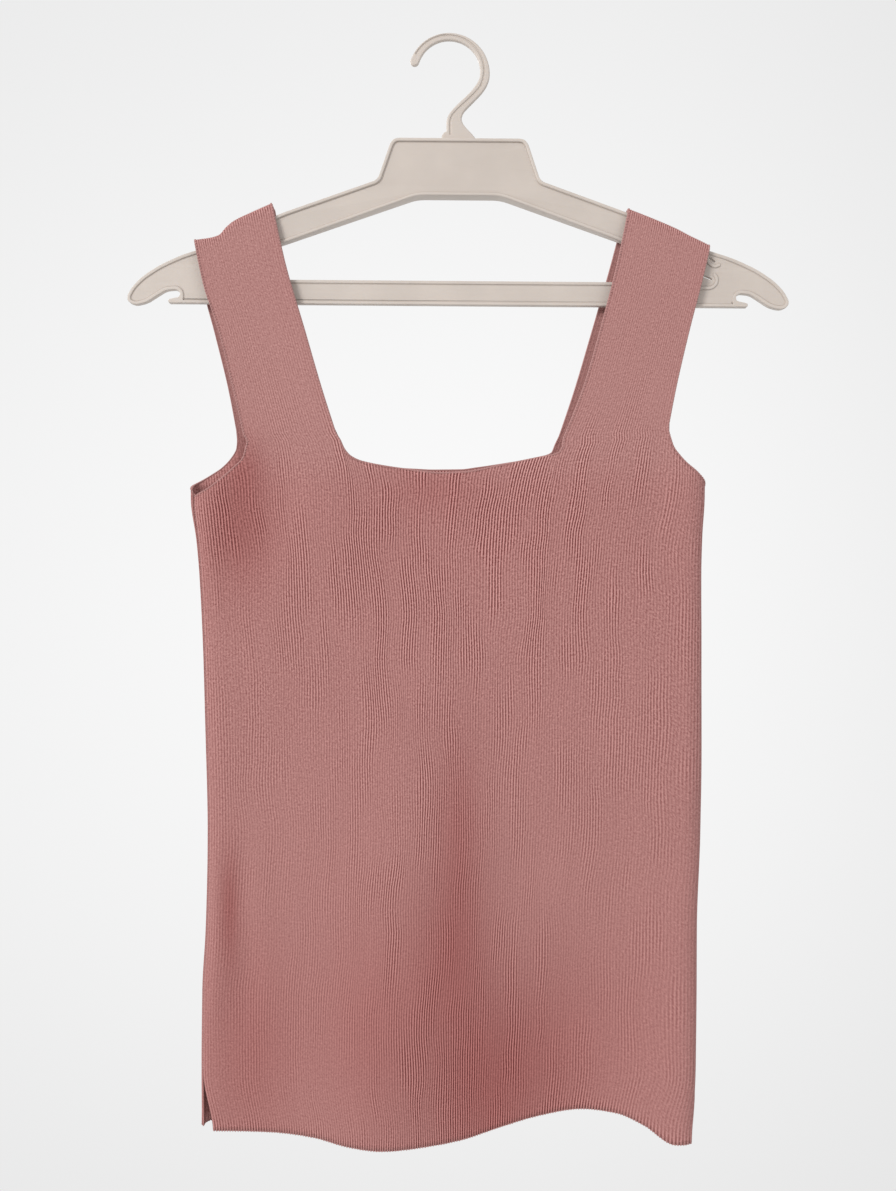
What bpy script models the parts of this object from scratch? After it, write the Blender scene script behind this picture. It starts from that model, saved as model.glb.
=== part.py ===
"""Sleeveless rib-knit tank top hanging on a moulded plastic hanger.

Two knitted panels (body and both straps in one piece, as they come off the
machine) meet at the side seams and at the shoulder seams on top of the hanger.
Lengths are in millimetres. X runs across, the front faces -Y, Z is up, and the
origin is where the hook hangs on its rail. Scene units are metres.
"""

import math

import bmesh
import bpy
from mathutils import Vector
from mathutils.geometry import tessellate_polygon

MM = 0.001

# ---- knit ----
RIBS = 185  # knitted ribs across one panel
RELIEF = 0.55  # ridge over valley
WALL = 1.25  # cloth in the valleys
SEAM_GAP = 0.3  # between the two panels at each seam
FOLD_R = 3.2  # radius of the flattened tube's side folds
FOLD_TO_FLAT = 34.0  # distance over which the tube opens to its full depth
ROWS = (0.0, 0.06, 0.36, 0.66, 0.9, 1.0)  # body rows, hem to yoke
STRAP_ROWS = 4  # from the yoke to the front of the fold over the hanger arm

# Half depth of the tube: height, half depth
DEPTH = ((-700, 8.0), (-560, 8.6), (-420, 8.8), (-330, 8.4), (-240, 8.1))

# Outline of the tube: height, left side, right side
SIDES = (
    (-700, -155.8, 152.6),
    (-645, -156.2, 154.6),
    (-600, -155.8, 155.4),
    (-560, -153.6, 155.8),
    (-500, -152.4, 158.4),
    (-440, -153.8, 159.4),
    (-390, -155.2, 159.4),
    (-340, -157.6, 159.4),
    (-316, -159.6, 159.9),
    (-290, -163.0, 161.4),
    (-240, -163.4, 162.0),
)

# The tube is turned a little on the hanger, so the left seam lies on the front
# and the right seam behind the fold: height, left turn, right turn
TURN = ((-700, 3.6, -2.4), (-500, 4.0, -2.8), (-320, 4.4, -3.0), (-285, 5.6, -3.0))

# Side slits at the hem: slit height, how far the front's corners draw in
SLIT_RISE = 36.0
SLIT_LEFT, SLIT_RIGHT = 6.5, 5.5

# Waves of the hanging hem, both panels together: centre, width, forward push
WAVES = ((-42.0, 56.0, -10.0), (84.0, 44.0, 8.0), (150.0, 26.0, -6.0))
WAVE_TOP, WAVE_FOOT = -400.0, -690.0

# Hem: distance across, height
HEM_FRONT = (
    (-160, -685.6),
    (-110, -685.2),
    (-84, -686.6),
    (-62, -690.6),
    (-42, -692.2),
    (-18, -691.0),
    (6, -689.4),
    (32, -684.4),
    (56, -679.8),
    (84, -676.2),
    (104, -677.6),
    (122, -683.4),
    (140, -692.6),
    (160, -691.6),
)
HEM_BACK = (
    (-160, -685.4),
    (-100, -686.5),
    (-60, -688.2),
    (0, -687.4),
    (56, -680.6),
    (90, -678.0),
    (130, -684.5),
    (160, -689.5),
)

# Top of the body: distance from the panel's left edge along the cloth, height.
# Strap bases run between the named distances.
FRONT = {
    "face": -1,
    "hem": HEM_FRONT,
    "straps": (33.2, 91.4, 230.1, 297.0),
    "left_armhole": (
        (0, -289.0),
        (8.5, -284.8),
        (18.8, -276.8),
        (25.5, -270.4),
        (30.0, -265.6),
        (33.2, -254.8),
    ),
    "neck": (
        (91.4, -254.2),
        (94.0, -259.8),
        (98.0, -264.2),
        (105.0, -267.4),
        (130.0, -271.8),
        (155.0, -274.4),
        (168.0, -274.0),
        (193.0, -269.4),
        (218.0, -264.3),
        (227.6, -262.1),
        (230.1, -258.4),
    ),
    "right_armhole": (
        (297.0, -250.5),
        (299.6, -258.2),
        (303.0, -263.0),
        (308.0, -268.4),
        (314.0, -273.2),
        (321.0, -279.6),
        (328.0, -286.0),
    ),
    # up each strap: left edge across and height, right edge across and height
    "left_strap": (
        (-127.6, -254.8, -69.4, -254.2),
        (-135.3, -221.0, -80.0, -221.0),
        (-144.3, -185.0, -90.5, -185.0),
        (-153.6, -157.0, -102.8, -143.0),
        (-159.2, -131.0, -110.6, -108.0),
    ),
    "right_strap": (
        (69.3, -258.4, 136.2, -250.5),
        (83.8, -222.0, 142.0, -221.0),
        (95.0, -184.0, 150.6, -184.5),
        (105.5, -143.5, 158.3, -155.0),
        (112.2, -111.0, 163.2, -133.0),
    ),
}
BACK = {
    "face": 1,
    "hem": HEM_BACK,
    "straps": (35.2, 95.6, 238.4, 301.4),
    "left_armhole": (
        (0, -289.0),
        (3.4, -284.8),
        (8.0, -281.0),
        (13.7, -277.4),
        (19.5, -273.8),
        (24.7, -270.4),
        (29.1, -266.4),
        (32.8, -261.6),
        (34.9, -257.2),
        (35.2, -253.6),
    ),
    "neck": (
        (95.6, -250.6),
        (98.4, -257.0),
        (102.6, -261.6),
        (110.0, -265.2),
        (134.0, -269.6),
        (150.0, -270.6),
        (160.0, -271.1),
        (178.0, -271.0),
        (188.0, -269.8),
        (204.0, -267.4),
        (228.0, -263.0),
        (236.0, -260.2),
        (238.4, -254.6),
    ),
    "right_armhole": (
        (301.4, -247.0),
        (304.0, -254.6),
        (308.0, -260.0),
        (314.0, -266.2),
        (321.0, -272.6),
        (326.5, -279.0),
        (331.0, -286.0),
    ),
    "left_strap": (
        (-134.4, -253.6, -73.8, -250.6),
        (-140.9, -219.0, -84.2, -219.0),
        (-149.2, -184.5, -95.0, -184.5),
        (-156.4, -156.0, -105.4, -143.0),
        (-159.8, -131.0, -110.8, -108.0),
    ),
    "right_strap": (
        (68.8, -254.6, 131.8, -247.0),
        (80.4, -220.0, 137.8, -219.0),
        (91.0, -184.0, 146.6, -184.5),
        (102.6, -143.5, 155.8, -155.0),
        (111.2, -111.0, 162.8, -133.0),
    ),
}

# Ridge of each strap over the hanger arm: share across, distance across, height
LEFT_RIDGE = (
    (0.0, -160.0, -127.8),
    (0.2, -150.2, -126.4),
    (0.32, -144.6, -124.6),
    (0.42, -139.8, -119.4),
    (0.52, -135.0, -115.6),
    (0.75, -123.8, -110.2),
    (1.0, -111.7, -104.8),
)
RIGHT_RIDGE = (
    (0.0, 112.6, -108.2),
    (0.2, 122.8, -112.2),
    (0.4, 133.0, -116.4),
    (0.6, 143.2, -120.9),
    (0.76, 151.4, -125.2),
    (0.9, 158.5, -128.6),
    (1.0, 163.6, -131.2),
)

# Cloth round the hanger arm: row, half depth, drop under the ridge
OVER_ARM = ((4, 6.35, 2.9), (5, 5.55, 0.85), (6, 3.2, 0.15), (7, 0.15, 0.0))

# Where the plain inside has its columns, besides the strap edges
INSIDE_SIDE = (0.0, 0.004, 0.009, 0.015, 0.03, 0.045, 0.06, 0.075, 0.09)
INSIDE_NECK = (0.012, 0.035, 0.08, 0.2, 0.35, 0.5, 0.65, 0.8, 0.92, 0.965, 0.988)
INSIDE_STRAP = (0.1, 0.2, 0.32, 0.42, 0.52, 0.66, 0.83)

# ---- hanger ----
FRAME_HALF = 4.6  # half depth at the rims
WEB_HALF = 3.4  # half depth of the recessed web
# The plate and arms are deep, the ends and the bar thin: height, share of the depth
THINNING = ((-142, 0.46), (-118, 1.0))
FRAME_ROLL = math.radians(0.43)  # it hangs a little low on the right
FRAME_AT = (6.28, -84.0)  # centre line across, and the height that it turns at

# Half of the frame from the top centre round to the bottom centre:
# rim's outer edge across and height, rim's inner edge across and height
RIM = (
    (38.5, -63.9, 38.0, -65.9),
    (41.2, -64.6, 40.0, -66.3),
    (43.4, -67.2, 41.6, -68.2),
    (50.7, -88.8, 49.2, -90.4),
    (52.8, -90.9, 51.8, -92.7),
    (112.0, -112.1, 111.2, -113.9),
    (126.8, -119.6, 126.0, -121.4),
    (137.0, -124.3, 136.1, -126.0),
    (145.0, -128.4, 144.2, -130.2),
    (152.0, -131.4, 151.3, -133.2),
    (158.0, -133.0, 157.5, -134.9),
    (174.4, -138.0, 173.6, -139.8),
    (188.0, -144.1, 187.0, -145.8),
    (199.4, -151.6, 198.0, -153.0),
    (205.8, -158.4, 204.2, -159.4),
    (208.8, -164.2, 206.8, -164.4),
    (208.2, -167.4, 206.4, -166.4),
    (204.0, -169.5, 203.6, -167.5),
    (196.8, -168.1, 197.8, -166.4),
    (188.3, -162.5, 189.6, -160.9),
    (184.2, -160.0, 184.6, -158.0),
    (177.6, -159.4, 176.6, -157.5),
    (175.2, -161.4, 173.4, -160.6),
    (175.6, -164.2, 173.2, -164.6),
    (182.8, -165.8, 173.6, -165.6),
    (182.8, -168.0, 173.4, -166.3),
    (172.0, -168.0, 171.0, -166.3),
)
BAR_FOOT = (-168.0, -166.3)
# Opening between arms and bar: its own edge, and the outer edge of its rim
WINDOW = (
    (26.4, -99.9, 26.1, -98.0),
    (140.0, -140.6, 141.8, -139.2),
    (140.0, -153.0, 141.8, -154.9),
)
# Raised hooks on each end, beside the strap slots: centre line
HOOKS = (
    ((156.4, -137.6), (158.8, -141.2), (162.0, -142.8), (165.2, -141.2)),
    ((151.6, -156.2), (159.8, -156.2), (163.0, -153.6), (163.2, -149.6), (161.2, -147.2)),
)
SLOTS = (
    ((158.1, -136.9), (162.0, -139.8), 1.1),
    ((154.4, -148.4), (160.2, -150.8), 1.2),
)
HOOK_RIB = 1.9
LEFT_HOOKS_IN = 5.0  # the left ones sit further in, behind the strap

# ---- hook ----
HOOK_HALF = 1.5
GROOVE_HALF = 1.0
# Outside and inside of the round rod: height of the centre, radius
OUTSIDE, INSIDE = (-21.7, 25.3), (-20.2, 20.2)
ROUND_FROM, ROUND_TO = 158, -6  # degrees, from the tip over the top to the neck
TIP_OUT = 1.6  # the tip runs on straight
GROOVE = 1.0
GROOVE_PLACE = (0.72, 0.45)  # share of the way out, at the tip and at the neck
# Neck and foot, down the right side and down the left side
NECK_RIGHT = (
    (24.2, -27.6),
    (22.4, -31.0),
    (20.0, -34.2),
    (15.6, -38.7),
    (12.0, -42.3),
    (8.9, -45.6),
    (7.7, -48.2),
    (7.4, -51.0),
    (8.6, -54.0),
    (11.0, -57.0),
    (13.8, -59.7),
    (15.9, -62.3),
    (16.2, -63.4),
)
NECK_LEFT = (
    (20.0, -24.0),
    (18.4, -27.8),
    (14.6, -32.9),
    (10.5, -36.9),
    (6.1, -41.0),
    (2.2, -45.0),
    (-0.2, -48.3),
    (-1.1, -51.3),
    (-1.2, -58.6),
    (-3.2, -59.4),
    (-4.2, -61.4),
    (-4.5, -63.4),
)
NECK_GROOVE = (
    (20.9, -28.9),
    (16.4, -34.2),
    (10.9, -39.5),
    (5.7, -44.2),
    (2.2, -48.0),
    (0.9, -51.2),
    (0.7, -56.0),
    (0.9, -60.6),
)


def between(low, high, at):
    at = min(max(at, 0.0), 1.0)
    return low + (high - low) * at


def soft(at):
    at = min(max(at, 0.0), 1.0)
    return at * at * (3 - 2 * at)


def along(rows, at, column=1):
    """A smooth line through the rows' points, level past both ends."""
    if at <= rows[0][0]:
        return rows[0][column]
    if at >= rows[-1][0]:
        return rows[-1][column]
    i = next(k for k in range(len(rows) - 1) if at <= rows[k + 1][0])
    x0, x1 = rows[i][0], rows[i + 1][0]
    y0, y1 = rows[i][column], rows[i + 1][column]
    slope = (y1 - y0) / (x1 - x0)

    def lean(k):
        if k == 0 or k == len(rows) - 1:
            return slope
        left = (rows[k][column] - rows[k - 1][column]) / (rows[k][0] - rows[k - 1][0])
        right = (rows[k + 1][column] - rows[k][column]) / (rows[k + 1][0] - rows[k][0])
        return 0.0 if left * right <= 0 else 2 * left * right / (left + right)

    m0, m1, h = lean(i), lean(i + 1), x1 - x0
    t = (at - x0) / h
    return (
        (2 * t**3 - 3 * t**2 + 1) * y0
        + (t**3 - 2 * t**2 + t) * h * m0
        + (3 * t**2 - 2 * t**3) * y1
        + (t**3 - t**2) * h * m1
    )


def straight(rows, at, column=1):
    if at <= rows[0][0]:
        return rows[0][column]
    for low, high in zip(rows, rows[1:]):
        if at <= high[0]:
            share = (at - low[0]) / (high[0] - low[0])
            return low[column] + (high[column] - low[column]) * share
    return rows[-1][column]


def wave(x, z):
    """How far the hanging cloth stands off its flat plane, towards the back."""
    fade = soft((WAVE_TOP - z) / (WAVE_TOP - WAVE_FOOT))
    return fade * sum(
        push * math.exp(-(((x - centre) / width) ** 2)) for centre, width, push in WAVES
    )


def reach(panel, z):
    """Where the panel starts and ends along the tube, measured from the left fold."""
    left, right = along(SIDES, z, 1), along(SIDES, z, 2)
    around = right - left + (math.pi - 2) * FOLD_R
    turn = -panel["face"]
    start = turn * along(TURN, z, 1) + SEAM_GAP / 2
    end = around - turn * along(TURN, z, 2) - SEAM_GAP / 2
    if panel["face"] < 0:
        open_ = soft((-686 + SLIT_RISE - z) / SLIT_RISE)
        start += SLIT_LEFT * open_
        end -= SLIT_RIGHT * open_
    return left, right, around, start, end


def tube(panel, s, z):
    """A point of the flattened tube at share s across the panel."""
    left, right, around, start, end = reach(panel, z)
    a = start + s * (end - start)
    b = around - a
    quarter = FOLD_R * math.pi / 2
    if a < quarter:
        x, y = left + FOLD_R * (1 - math.cos(a / FOLD_R)), FOLD_R * math.sin(a / FOLD_R)
    elif b < quarter:
        x, y = right - FOLD_R * (1 - math.cos(b / FOLD_R)), FOLD_R * math.sin(b / FOLD_R)
    else:
        x, y = left + FOLD_R + a - quarter, FOLD_R
    y += (along(DEPTH, z) - FOLD_R) * soft(min(x - left, right - x) / FOLD_TO_FLAT)
    return Vector((x, panel["face"] * y + wave(x, z), z))


def yoke_height(panel, s):
    """Height of the body's top edge at share s."""
    _, _, _, start, end = reach(panel, -270)
    r = s * (end - start)
    a, b, c, d = panel["straps"]
    if r < a:
        return along(panel["left_armhole"], r)
    if r <= b:
        row = panel["left_strap"][0]
        return between(row[1], row[3], (r - a) / (b - a))
    if r < c:
        return along(panel["neck"], r)
    if r <= d:
        row = panel["right_strap"][0]
        return between(row[1], row[3], (r - c) / (d - c))
    return along(panel["right_armhole"], r)


def body(panel, s, t):
    low = along(panel["hem"], tube(panel, s, -688).x)
    high = yoke_height(panel, s)
    return tube(panel, s, low + (high - low) * t)


def strap(panel, side, c, q):
    """Row q up a strap at share c across it; rows 4 to 7 go over the arm."""
    rows = panel[side + "_strap"]
    ridge = LEFT_RIDGE if side == "left" else RIGHT_RIDGE
    k = min(int(max(q, 0)), STRAP_ROWS - 1)
    part = min(q, STRAP_ROWS) - k
    low, high = rows[k], rows[k + 1]
    edge = [low[i] + (high[i] - low[i]) * part for i in range(4)]
    x = edge[0] + (edge[2] - edge[0]) * c
    z = edge[1] + (edge[3] - edge[1]) * c
    top_z = along(ridge, c, 2)
    first, last = panel["shares"][side]
    base = body(panel, first + (last - first) * c, 1.0)
    depth = between(abs(base.y), OVER_ARM[0][1], soft(q / 3.2))
    if q > STRAP_ROWS - 1:
        up = min(q, STRAP_ROWS) - (STRAP_ROWS - 1)
        straight_z = z
        z = between(straight_z, top_z - OVER_ARM[0][2], up)
    if q > STRAP_ROWS:
        x = between(x, straight(ridge, c, 1), (q - STRAP_ROWS) / 2)
        if q <= 7:
            depth = straight(OVER_ARM, q, 1)
            z = top_z - straight(OVER_ARM, q, 2)
        else:
            depth = OVER_ARM[-1][1] - (q - 7) * 3
            z = top_z
    return Vector((x, panel["face"] * depth, z))


def facing(surface, u, v, face):
    """The surface's own direction out, by looking a little to each side."""
    e = 2e-4
    across = surface(u + e, v) - surface(u - e, v)
    up = surface(u, v + e) - surface(u, v - e)
    out = across.cross(up)
    out.normalize()
    return out if face < 0 else -out


def closed_object(name, points, faces, colour, roughness):
    mesh = bpy.data.meshes.new(name)
    mesh.from_pydata([tuple(p * MM for p in point) for point in points], [], faces)
    shape = bmesh.new()
    shape.from_mesh(mesh)
    bmesh.ops.recalc_face_normals(shape, faces=shape.faces)
    shape.to_mesh(mesh)
    shape.free()
    obj = bpy.data.objects.new(name, mesh)
    bpy.context.scene.collection.objects.link(obj)
    material = bpy.data.materials.new(name)
    material.use_nodes = True
    shader = material.node_tree.nodes["Principled BSDF"]
    shader.inputs["Base Color"].default_value = (*colour, 1)
    shader.inputs["Roughness"].default_value = roughness
    mesh.materials.append(material)
    return obj


def zip_rim(faces, outer, inner):
    """Closes a rim between two edges, each a list of (place along it, point)."""
    i = j = 0
    while i < len(outer) - 1 or j < len(inner) - 1:
        if j == len(inner) - 1 or (
            i < len(outer) - 1 and outer[i + 1][0] <= inner[j + 1][0]
        ):
            faces.append((outer[i][1], outer[i + 1][1], inner[j][1]))
            i += 1
        else:
            faces.append((outer[i][1], inner[j + 1][1], inner[j][1]))
            j += 1


def skin(panel, shares, lift, points, faces):
    """One side of a panel's cloth. Gives the point numbers of body and straps."""
    face = panel["face"]
    edges = panel["shares"]

    def put(surface, u, v, k):
        at = surface(u, v)
        points.append(at + facing(surface, u, v, face) * lift(k))
        return len(points) - 1

    def grid(columns):
        for left, right in zip(columns, columns[1:]):
            for i in range(len(left) - 1):
                a, b, c, d = left[i], right[i], right[i + 1], left[i + 1]
                faces.extend([(a, b, c), (a, c, d)])

    def on_body(u, v):
        return body(panel, u, v)

    columns = [[put(on_body, s, t, k) for t in ROWS] for k, s in enumerate(shares)]
    grid(columns)
    straps = {}
    for side in ("left", "right"):
        first, last = edges[side]

        def on_strap(u, v, side=side):
            return strap(panel, side, u, v)

        own = []
        for k, s in enumerate(shares):
            if first - 1e-6 <= s <= last + 1e-6:
                c = (s - first) / (last - first)
                rise = [columns[k][-1]] + [put(on_strap, c, q, k) for q in range(1, 8)]
                own.append((s, rise))
        grid([rise for _, rise in own])
        straps[side] = own
    return columns, straps


def panel_solid(name, panel, colour):
    _, _, _, start, end = reach(panel, -270)
    count = 2 * RIBS
    step = [2 * round(r / (end - start) * count / 2) / count for r in panel["straps"]]
    panel["shares"] = {"left": (step[0], step[1]), "right": (step[2], step[3])}
    outer = [k / count for k in range(count + 1)]
    inner = [s for s in INSIDE_SIDE if s < step[0] - 0.004] + [step[0]]
    inner += [step[0] + c * (step[1] - step[0]) for c in INSIDE_STRAP] + [step[1]]
    inner += [step[1] + c * (step[2] - step[1]) for c in INSIDE_NECK] + [step[2]]
    inner += [step[2] + c * (step[3] - step[2]) for c in INSIDE_STRAP] + [step[3]]
    inner += [1 - s for s in reversed(INSIDE_SIDE) if 1 - s > step[3] + 0.004]
    points, faces = [], []
    out_body, out_straps = skin(
        panel, outer, lambda k: RELIEF * (k % 2), points, faces
    )
    in_body, in_straps = skin(panel, inner, lambda k: -WALL, points, faces)

    def row(shares, columns, i, low, high):
        return [
            (s, column[i])
            for s, column in zip(shares, columns)
            if low - 1e-6 <= s <= high + 1e-6
        ]

    def edge(columns, k):
        return list(enumerate(columns[k]))

    zip_rim(faces, row(outer, out_body, 0, 0, 1), row(inner, in_body, 0, 0, 1))
    for low, high in ((0, step[0]), (step[1], step[2]), (step[3], 1)):
        zip_rim(
            faces, row(outer, out_body, -1, low, high), row(inner, in_body, -1, low, high)
        )
    for k in (0, -1):
        zip_rim(faces, edge(out_body, k), edge(in_body, k))
    for side in ("left", "right"):
        out_own, in_own = out_straps[side], in_straps[side]
        for k in (0, -1):
            zip_rim(
                faces, list(enumerate(out_own[k][1])), list(enumerate(in_own[k][1]))
            )
        zip_rim(
            faces,
            [(s, rise[-1]) for s, rise in out_own],
            [(s, rise[-1]) for s, rise in in_own],
        )
    return closed_object(name, points, faces, colour, 0.9)


def layered(name, loops, regions, place, colour, share=lambda height: 1.0):
    """A flat moulding from outlines in its own plane, the same on both faces.

    Each region is (half depth, its outer loop, the loops inside it). A wall
    stands on each loop between the regions that it parts.
    """
    points, faces, where = [], [], {}

    def number(loop, k, y):
        key = (loop, k % len(loops[loop]), y)
        if key not in where:
            across, height = place(*loops[loop][key[1]])
            where[key] = len(points)
            points.append(Vector((across, y * share(height), height)))
        return where[key]

    sides = {loop: [] for loop in loops}
    for half, outside, inside in regions:
        names = [outside, *inside]
        rings = [[Vector((*p, 0)) for p in loops[loop]] for loop in names]
        flat = [(loop, k) for loop in names for k in range(len(loops[loop]))]
        for triangle in tessellate_polygon(rings):
            for y in (-half, half):
                faces.append(tuple(number(*flat[i], y) for i in triangle))
        for loop in names:
            sides[loop].append(half)
    for loop, halves in sides.items():
        if len(halves) == 1:
            levels = [(-halves[0], halves[0])]
        else:
            levels = [(-halves[0], -halves[1]), (halves[0], halves[1])]
        for low, high in levels:
            for k in range(len(loops[loop])):
                a, b = number(loop, k, low), number(loop, k + 1, low)
                c, d = number(loop, k + 1, high), number(loop, k, high)
                faces.extend([(a, b, c), (a, c, d)])
    return closed_object(name, points, faces, colour, 0.45)


def offset_line(line, half, round_end=0):
    """A band round an open line, with round_end steps round its first end."""
    left, right = [], []
    for k, here in enumerate(line):
        before, after = line[max(k - 1, 0)], line[min(k + 1, len(line) - 1)]
        dx, dz = after[0] - before[0], after[1] - before[1]
        size = math.hypot(dx, dz)
        nx, nz = -dz / size * half, dx / size * half
        left.append((here[0] + nx, here[1] + nz))
        right.append((here[0] - nx, here[1] - nz))
    cap = []
    if round_end:
        turn = math.atan2(left[0][1] - line[0][1], left[0][0] - line[0][0])
        for i in range(1, round_end):
            angle = turn + math.pi * i / round_end
            cap.append(
                (line[0][0] + half * math.cos(angle), line[0][1] + half * math.sin(angle))
            )
    return left[::-1] + cap + right


def hanger_frame(colour):
    def mirrored(rows, i):
        half = [(row[i], row[i + 1]) for row in rows]
        return half + [(-u, v) for u, v in reversed(half)]

    loops = {
        "outline": mirrored(RIM, 0),
        "rim": mirrored(RIM, 2),
        "window_rim": mirrored(WINDOW, 2),
        "window": mirrored(WINDOW, 0),
    }
    inside, tops = ["window_rim"], []
    for sign, shift in ((1, 0.0), (-1, LEFT_HOOKS_IN)):
        for n, line in enumerate(HOOKS):
            loop = f"hook_{sign}_{n}"
            own = [(sign * (u - shift), v) for u, v in line]
            loops[loop] = offset_line(own, HOOK_RIB / 2)
            tops.append(loop)
        for n, (start, end, width) in enumerate(SLOTS):
            loop = f"slot_{sign}_{n}"
            own = [(sign * (u - shift), v) for u, v in (start, end)]
            loops[loop] = offset_line(own, width / 2)
            inside.append(loop)
    regions = [
        (FRAME_HALF, "outline", ["rim"]),
        (WEB_HALF, "rim", inside + tops),
        (FRAME_HALF, "window_rim", ["window"]),
    ] + [(FRAME_HALF, loop, []) for loop in tops]

    def place(u, v):
        lean = FRAME_ROLL
        return (
            FRAME_AT[0] + u * math.cos(lean) + (v - FRAME_AT[1]) * math.sin(lean),
            FRAME_AT[1] + (v - FRAME_AT[1]) * math.cos(lean) - u * math.sin(lean),
        )

    def share(height):
        return along(THINNING, height)

    return layered("hanger_frame", loops, regions, place, colour, share)


def on_rod(out, degrees):
    """A point on the round rod, out = 0 on its inside and 1 on its outside."""
    angle = math.radians(degrees)
    centre, radius = (between(a, b, out) for a, b in zip(INSIDE, OUTSIDE))
    return (radius * math.cos(angle), centre + radius * math.sin(angle))


def hanger_hook(colour):
    turns = [ROUND_FROM + (ROUND_TO - ROUND_FROM) * i / 20 for i in range(21)]
    outside = [on_rod(1, turn) for turn in turns]
    inside = [on_rod(0, turn) for turn in turns]
    along_tip = math.radians(ROUND_FROM + 90)
    step = (TIP_OUT * math.cos(along_tip), TIP_OUT * math.sin(along_tip))
    outer, inner = ((p[0][0] + step[0], p[0][1] + step[1]) for p in (outside, inside))
    middle = ((outer[0] + inner[0]) / 2, (outer[1] + inner[1]) / 2)
    half = math.dist(outer, inner) / 2
    start = math.atan2(outer[1] - middle[1], outer[0] - middle[0])
    tip = []
    for i in range(7):
        angle = start + math.pi * i / 6
        tip.append((middle[0] + half * math.cos(angle), middle[1] + half * math.sin(angle)))
    groove = []
    for i, turn in enumerate(turns[1:-1]):
        groove.append(on_rod(between(*GROOVE_PLACE, i / 18), turn))
    outline = [*NECK_RIGHT[::-1], *outside[::-1], *tip, *inside, *NECK_LEFT]
    loops = {
        "outline": outline,
        "groove": offset_line(groove + list(NECK_GROOVE), GROOVE / 2, round_end=4),
    }
    regions = [
        (HOOK_HALF, "outline", ["groove"]),
        (GROOVE_HALF, "groove", []),
    ]
    return layered("hanger_hook", loops, regions, lambda u, v: (u, v), colour)


def main():
    for obj in list(bpy.data.objects):
        bpy.data.objects.remove(obj)
    rose, shell = (0.44, 0.185, 0.175), (0.66, 0.60, 0.53)
    panel_solid("front_panel", FRONT, rose)
    panel_solid("back_panel", BACK, rose)
    hanger_frame(shell)
    hanger_hook(shell)


main()
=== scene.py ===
"""Looks of a sleeveless rib-knit tank top hanging on a moulded plastic hanger.

Lengths are in millimetres, as the garment is cut, and points become metres
when a mesh is made. X runs across, the front faces -Y, Z is up, and the origin
is where the hook hangs.
"""

import math

import bmesh
import bpy
import numpy as np
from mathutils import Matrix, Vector
from mathutils.geometry import tessellate_polygon

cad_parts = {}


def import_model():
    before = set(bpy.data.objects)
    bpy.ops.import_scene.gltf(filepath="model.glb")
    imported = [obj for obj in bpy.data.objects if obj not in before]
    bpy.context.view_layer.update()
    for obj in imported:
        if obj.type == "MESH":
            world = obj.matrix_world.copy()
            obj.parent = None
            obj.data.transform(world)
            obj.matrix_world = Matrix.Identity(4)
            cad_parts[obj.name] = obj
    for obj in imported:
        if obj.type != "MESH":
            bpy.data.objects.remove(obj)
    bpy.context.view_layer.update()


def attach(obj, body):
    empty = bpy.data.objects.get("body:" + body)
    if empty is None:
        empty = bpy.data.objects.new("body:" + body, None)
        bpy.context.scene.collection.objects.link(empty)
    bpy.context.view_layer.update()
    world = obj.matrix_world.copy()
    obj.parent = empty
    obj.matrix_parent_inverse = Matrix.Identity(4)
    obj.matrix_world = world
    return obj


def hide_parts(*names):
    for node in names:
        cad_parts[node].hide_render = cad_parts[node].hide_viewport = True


MM = 0.001

# ---- camera: where the photograph was taken from ----
CAMERA_AT = (-0.63, -650.0, -351.35)
HALF_VIEW = 376.65  # half of the frame's height, on the plane through the hanger
SENSOR = 36.0

# ---- knit ----
RIBS = 185  # knitted ribs across one panel
POINTS_PER_RIB = 4
COURSE = 1.3  # height of one knitted row
WALL = 1.25  # cloth in the valleys
RELIEF = (0.13, 0.50)  # ridge over valley, where the ribs are closed and open
SEAM_GAP = 0.3
FOLD_R = 3.2  # radius of the flattened tube's side folds
FOLD_TO_FLAT = 15.0  # distance over which the tube opens to its full depth
CREASE_IN = 9.0  # the creases fade out over this distance from a side fold
BODY_ROWS = 78
CLOSER_ENDS = 0.055  # how much closer the rows lie at the hem and at the top
STRAP_STEPS = 7  # rows between two stations of a strap
ARM_STEPS = 12  # rows over the hanger's arm
# How far down the ribs lean the way the straps pull them: a short bend at the top,
# and a long one on the left and on the right
BEND_SHORT, BEND_LEFT, BEND_RIGHT = 18.0, 45.0, 120.0
BEND_SHARE = 0.25  # what the short bend takes
# Random swells across the ribs and up them: seed, ribs and millimetres to a swell,
# how much. The first two push the ribs across, the others open and close them.
RIB_WANDER = ((21, 17.0, 36.0, 1.5), (22, 6.0, 13.0, 0.5))
RIB_PATCHES = ((31, 5.5, 38.0, 0.75), (32, 2.6, 17.0, 0.45))

# Half depth of the tube: height, half depth
DEPTH = ((-700, 8.0), (-560, 8.6), (-420, 8.8), (-330, 8.4), (-240, 8.1))

# Outline of the tube: height, left side, right side
SIDES = (
    (-700, -155.8, 152.6),
    (-645, -156.2, 154.6),
    (-600, -155.8, 155.4),
    (-560, -153.6, 155.8),
    (-500, -152.4, 158.4),
    (-440, -153.8, 159.4),
    (-390, -155.2, 159.4),
    (-340, -157.6, 159.4),
    (-316, -159.6, 159.9),
    (-290, -163.0, 161.4),
    (-240, -163.4, 162.0),
)

# The tube is turned a little on the hanger: height, left turn, right turn
TURN = ((-700, 3.6, -2.4), (-500, 4.0, -2.8), (-320, 4.4, -3.0), (-285, 5.6, -3.0))

# The slits: where they start, how high they rise, how far the front stands back
HEM_LEVEL = -686.0
SLIT_RISE = 36.0
SLIT_LEFT, SLIT_RIGHT = 6.5, 5.5

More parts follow.
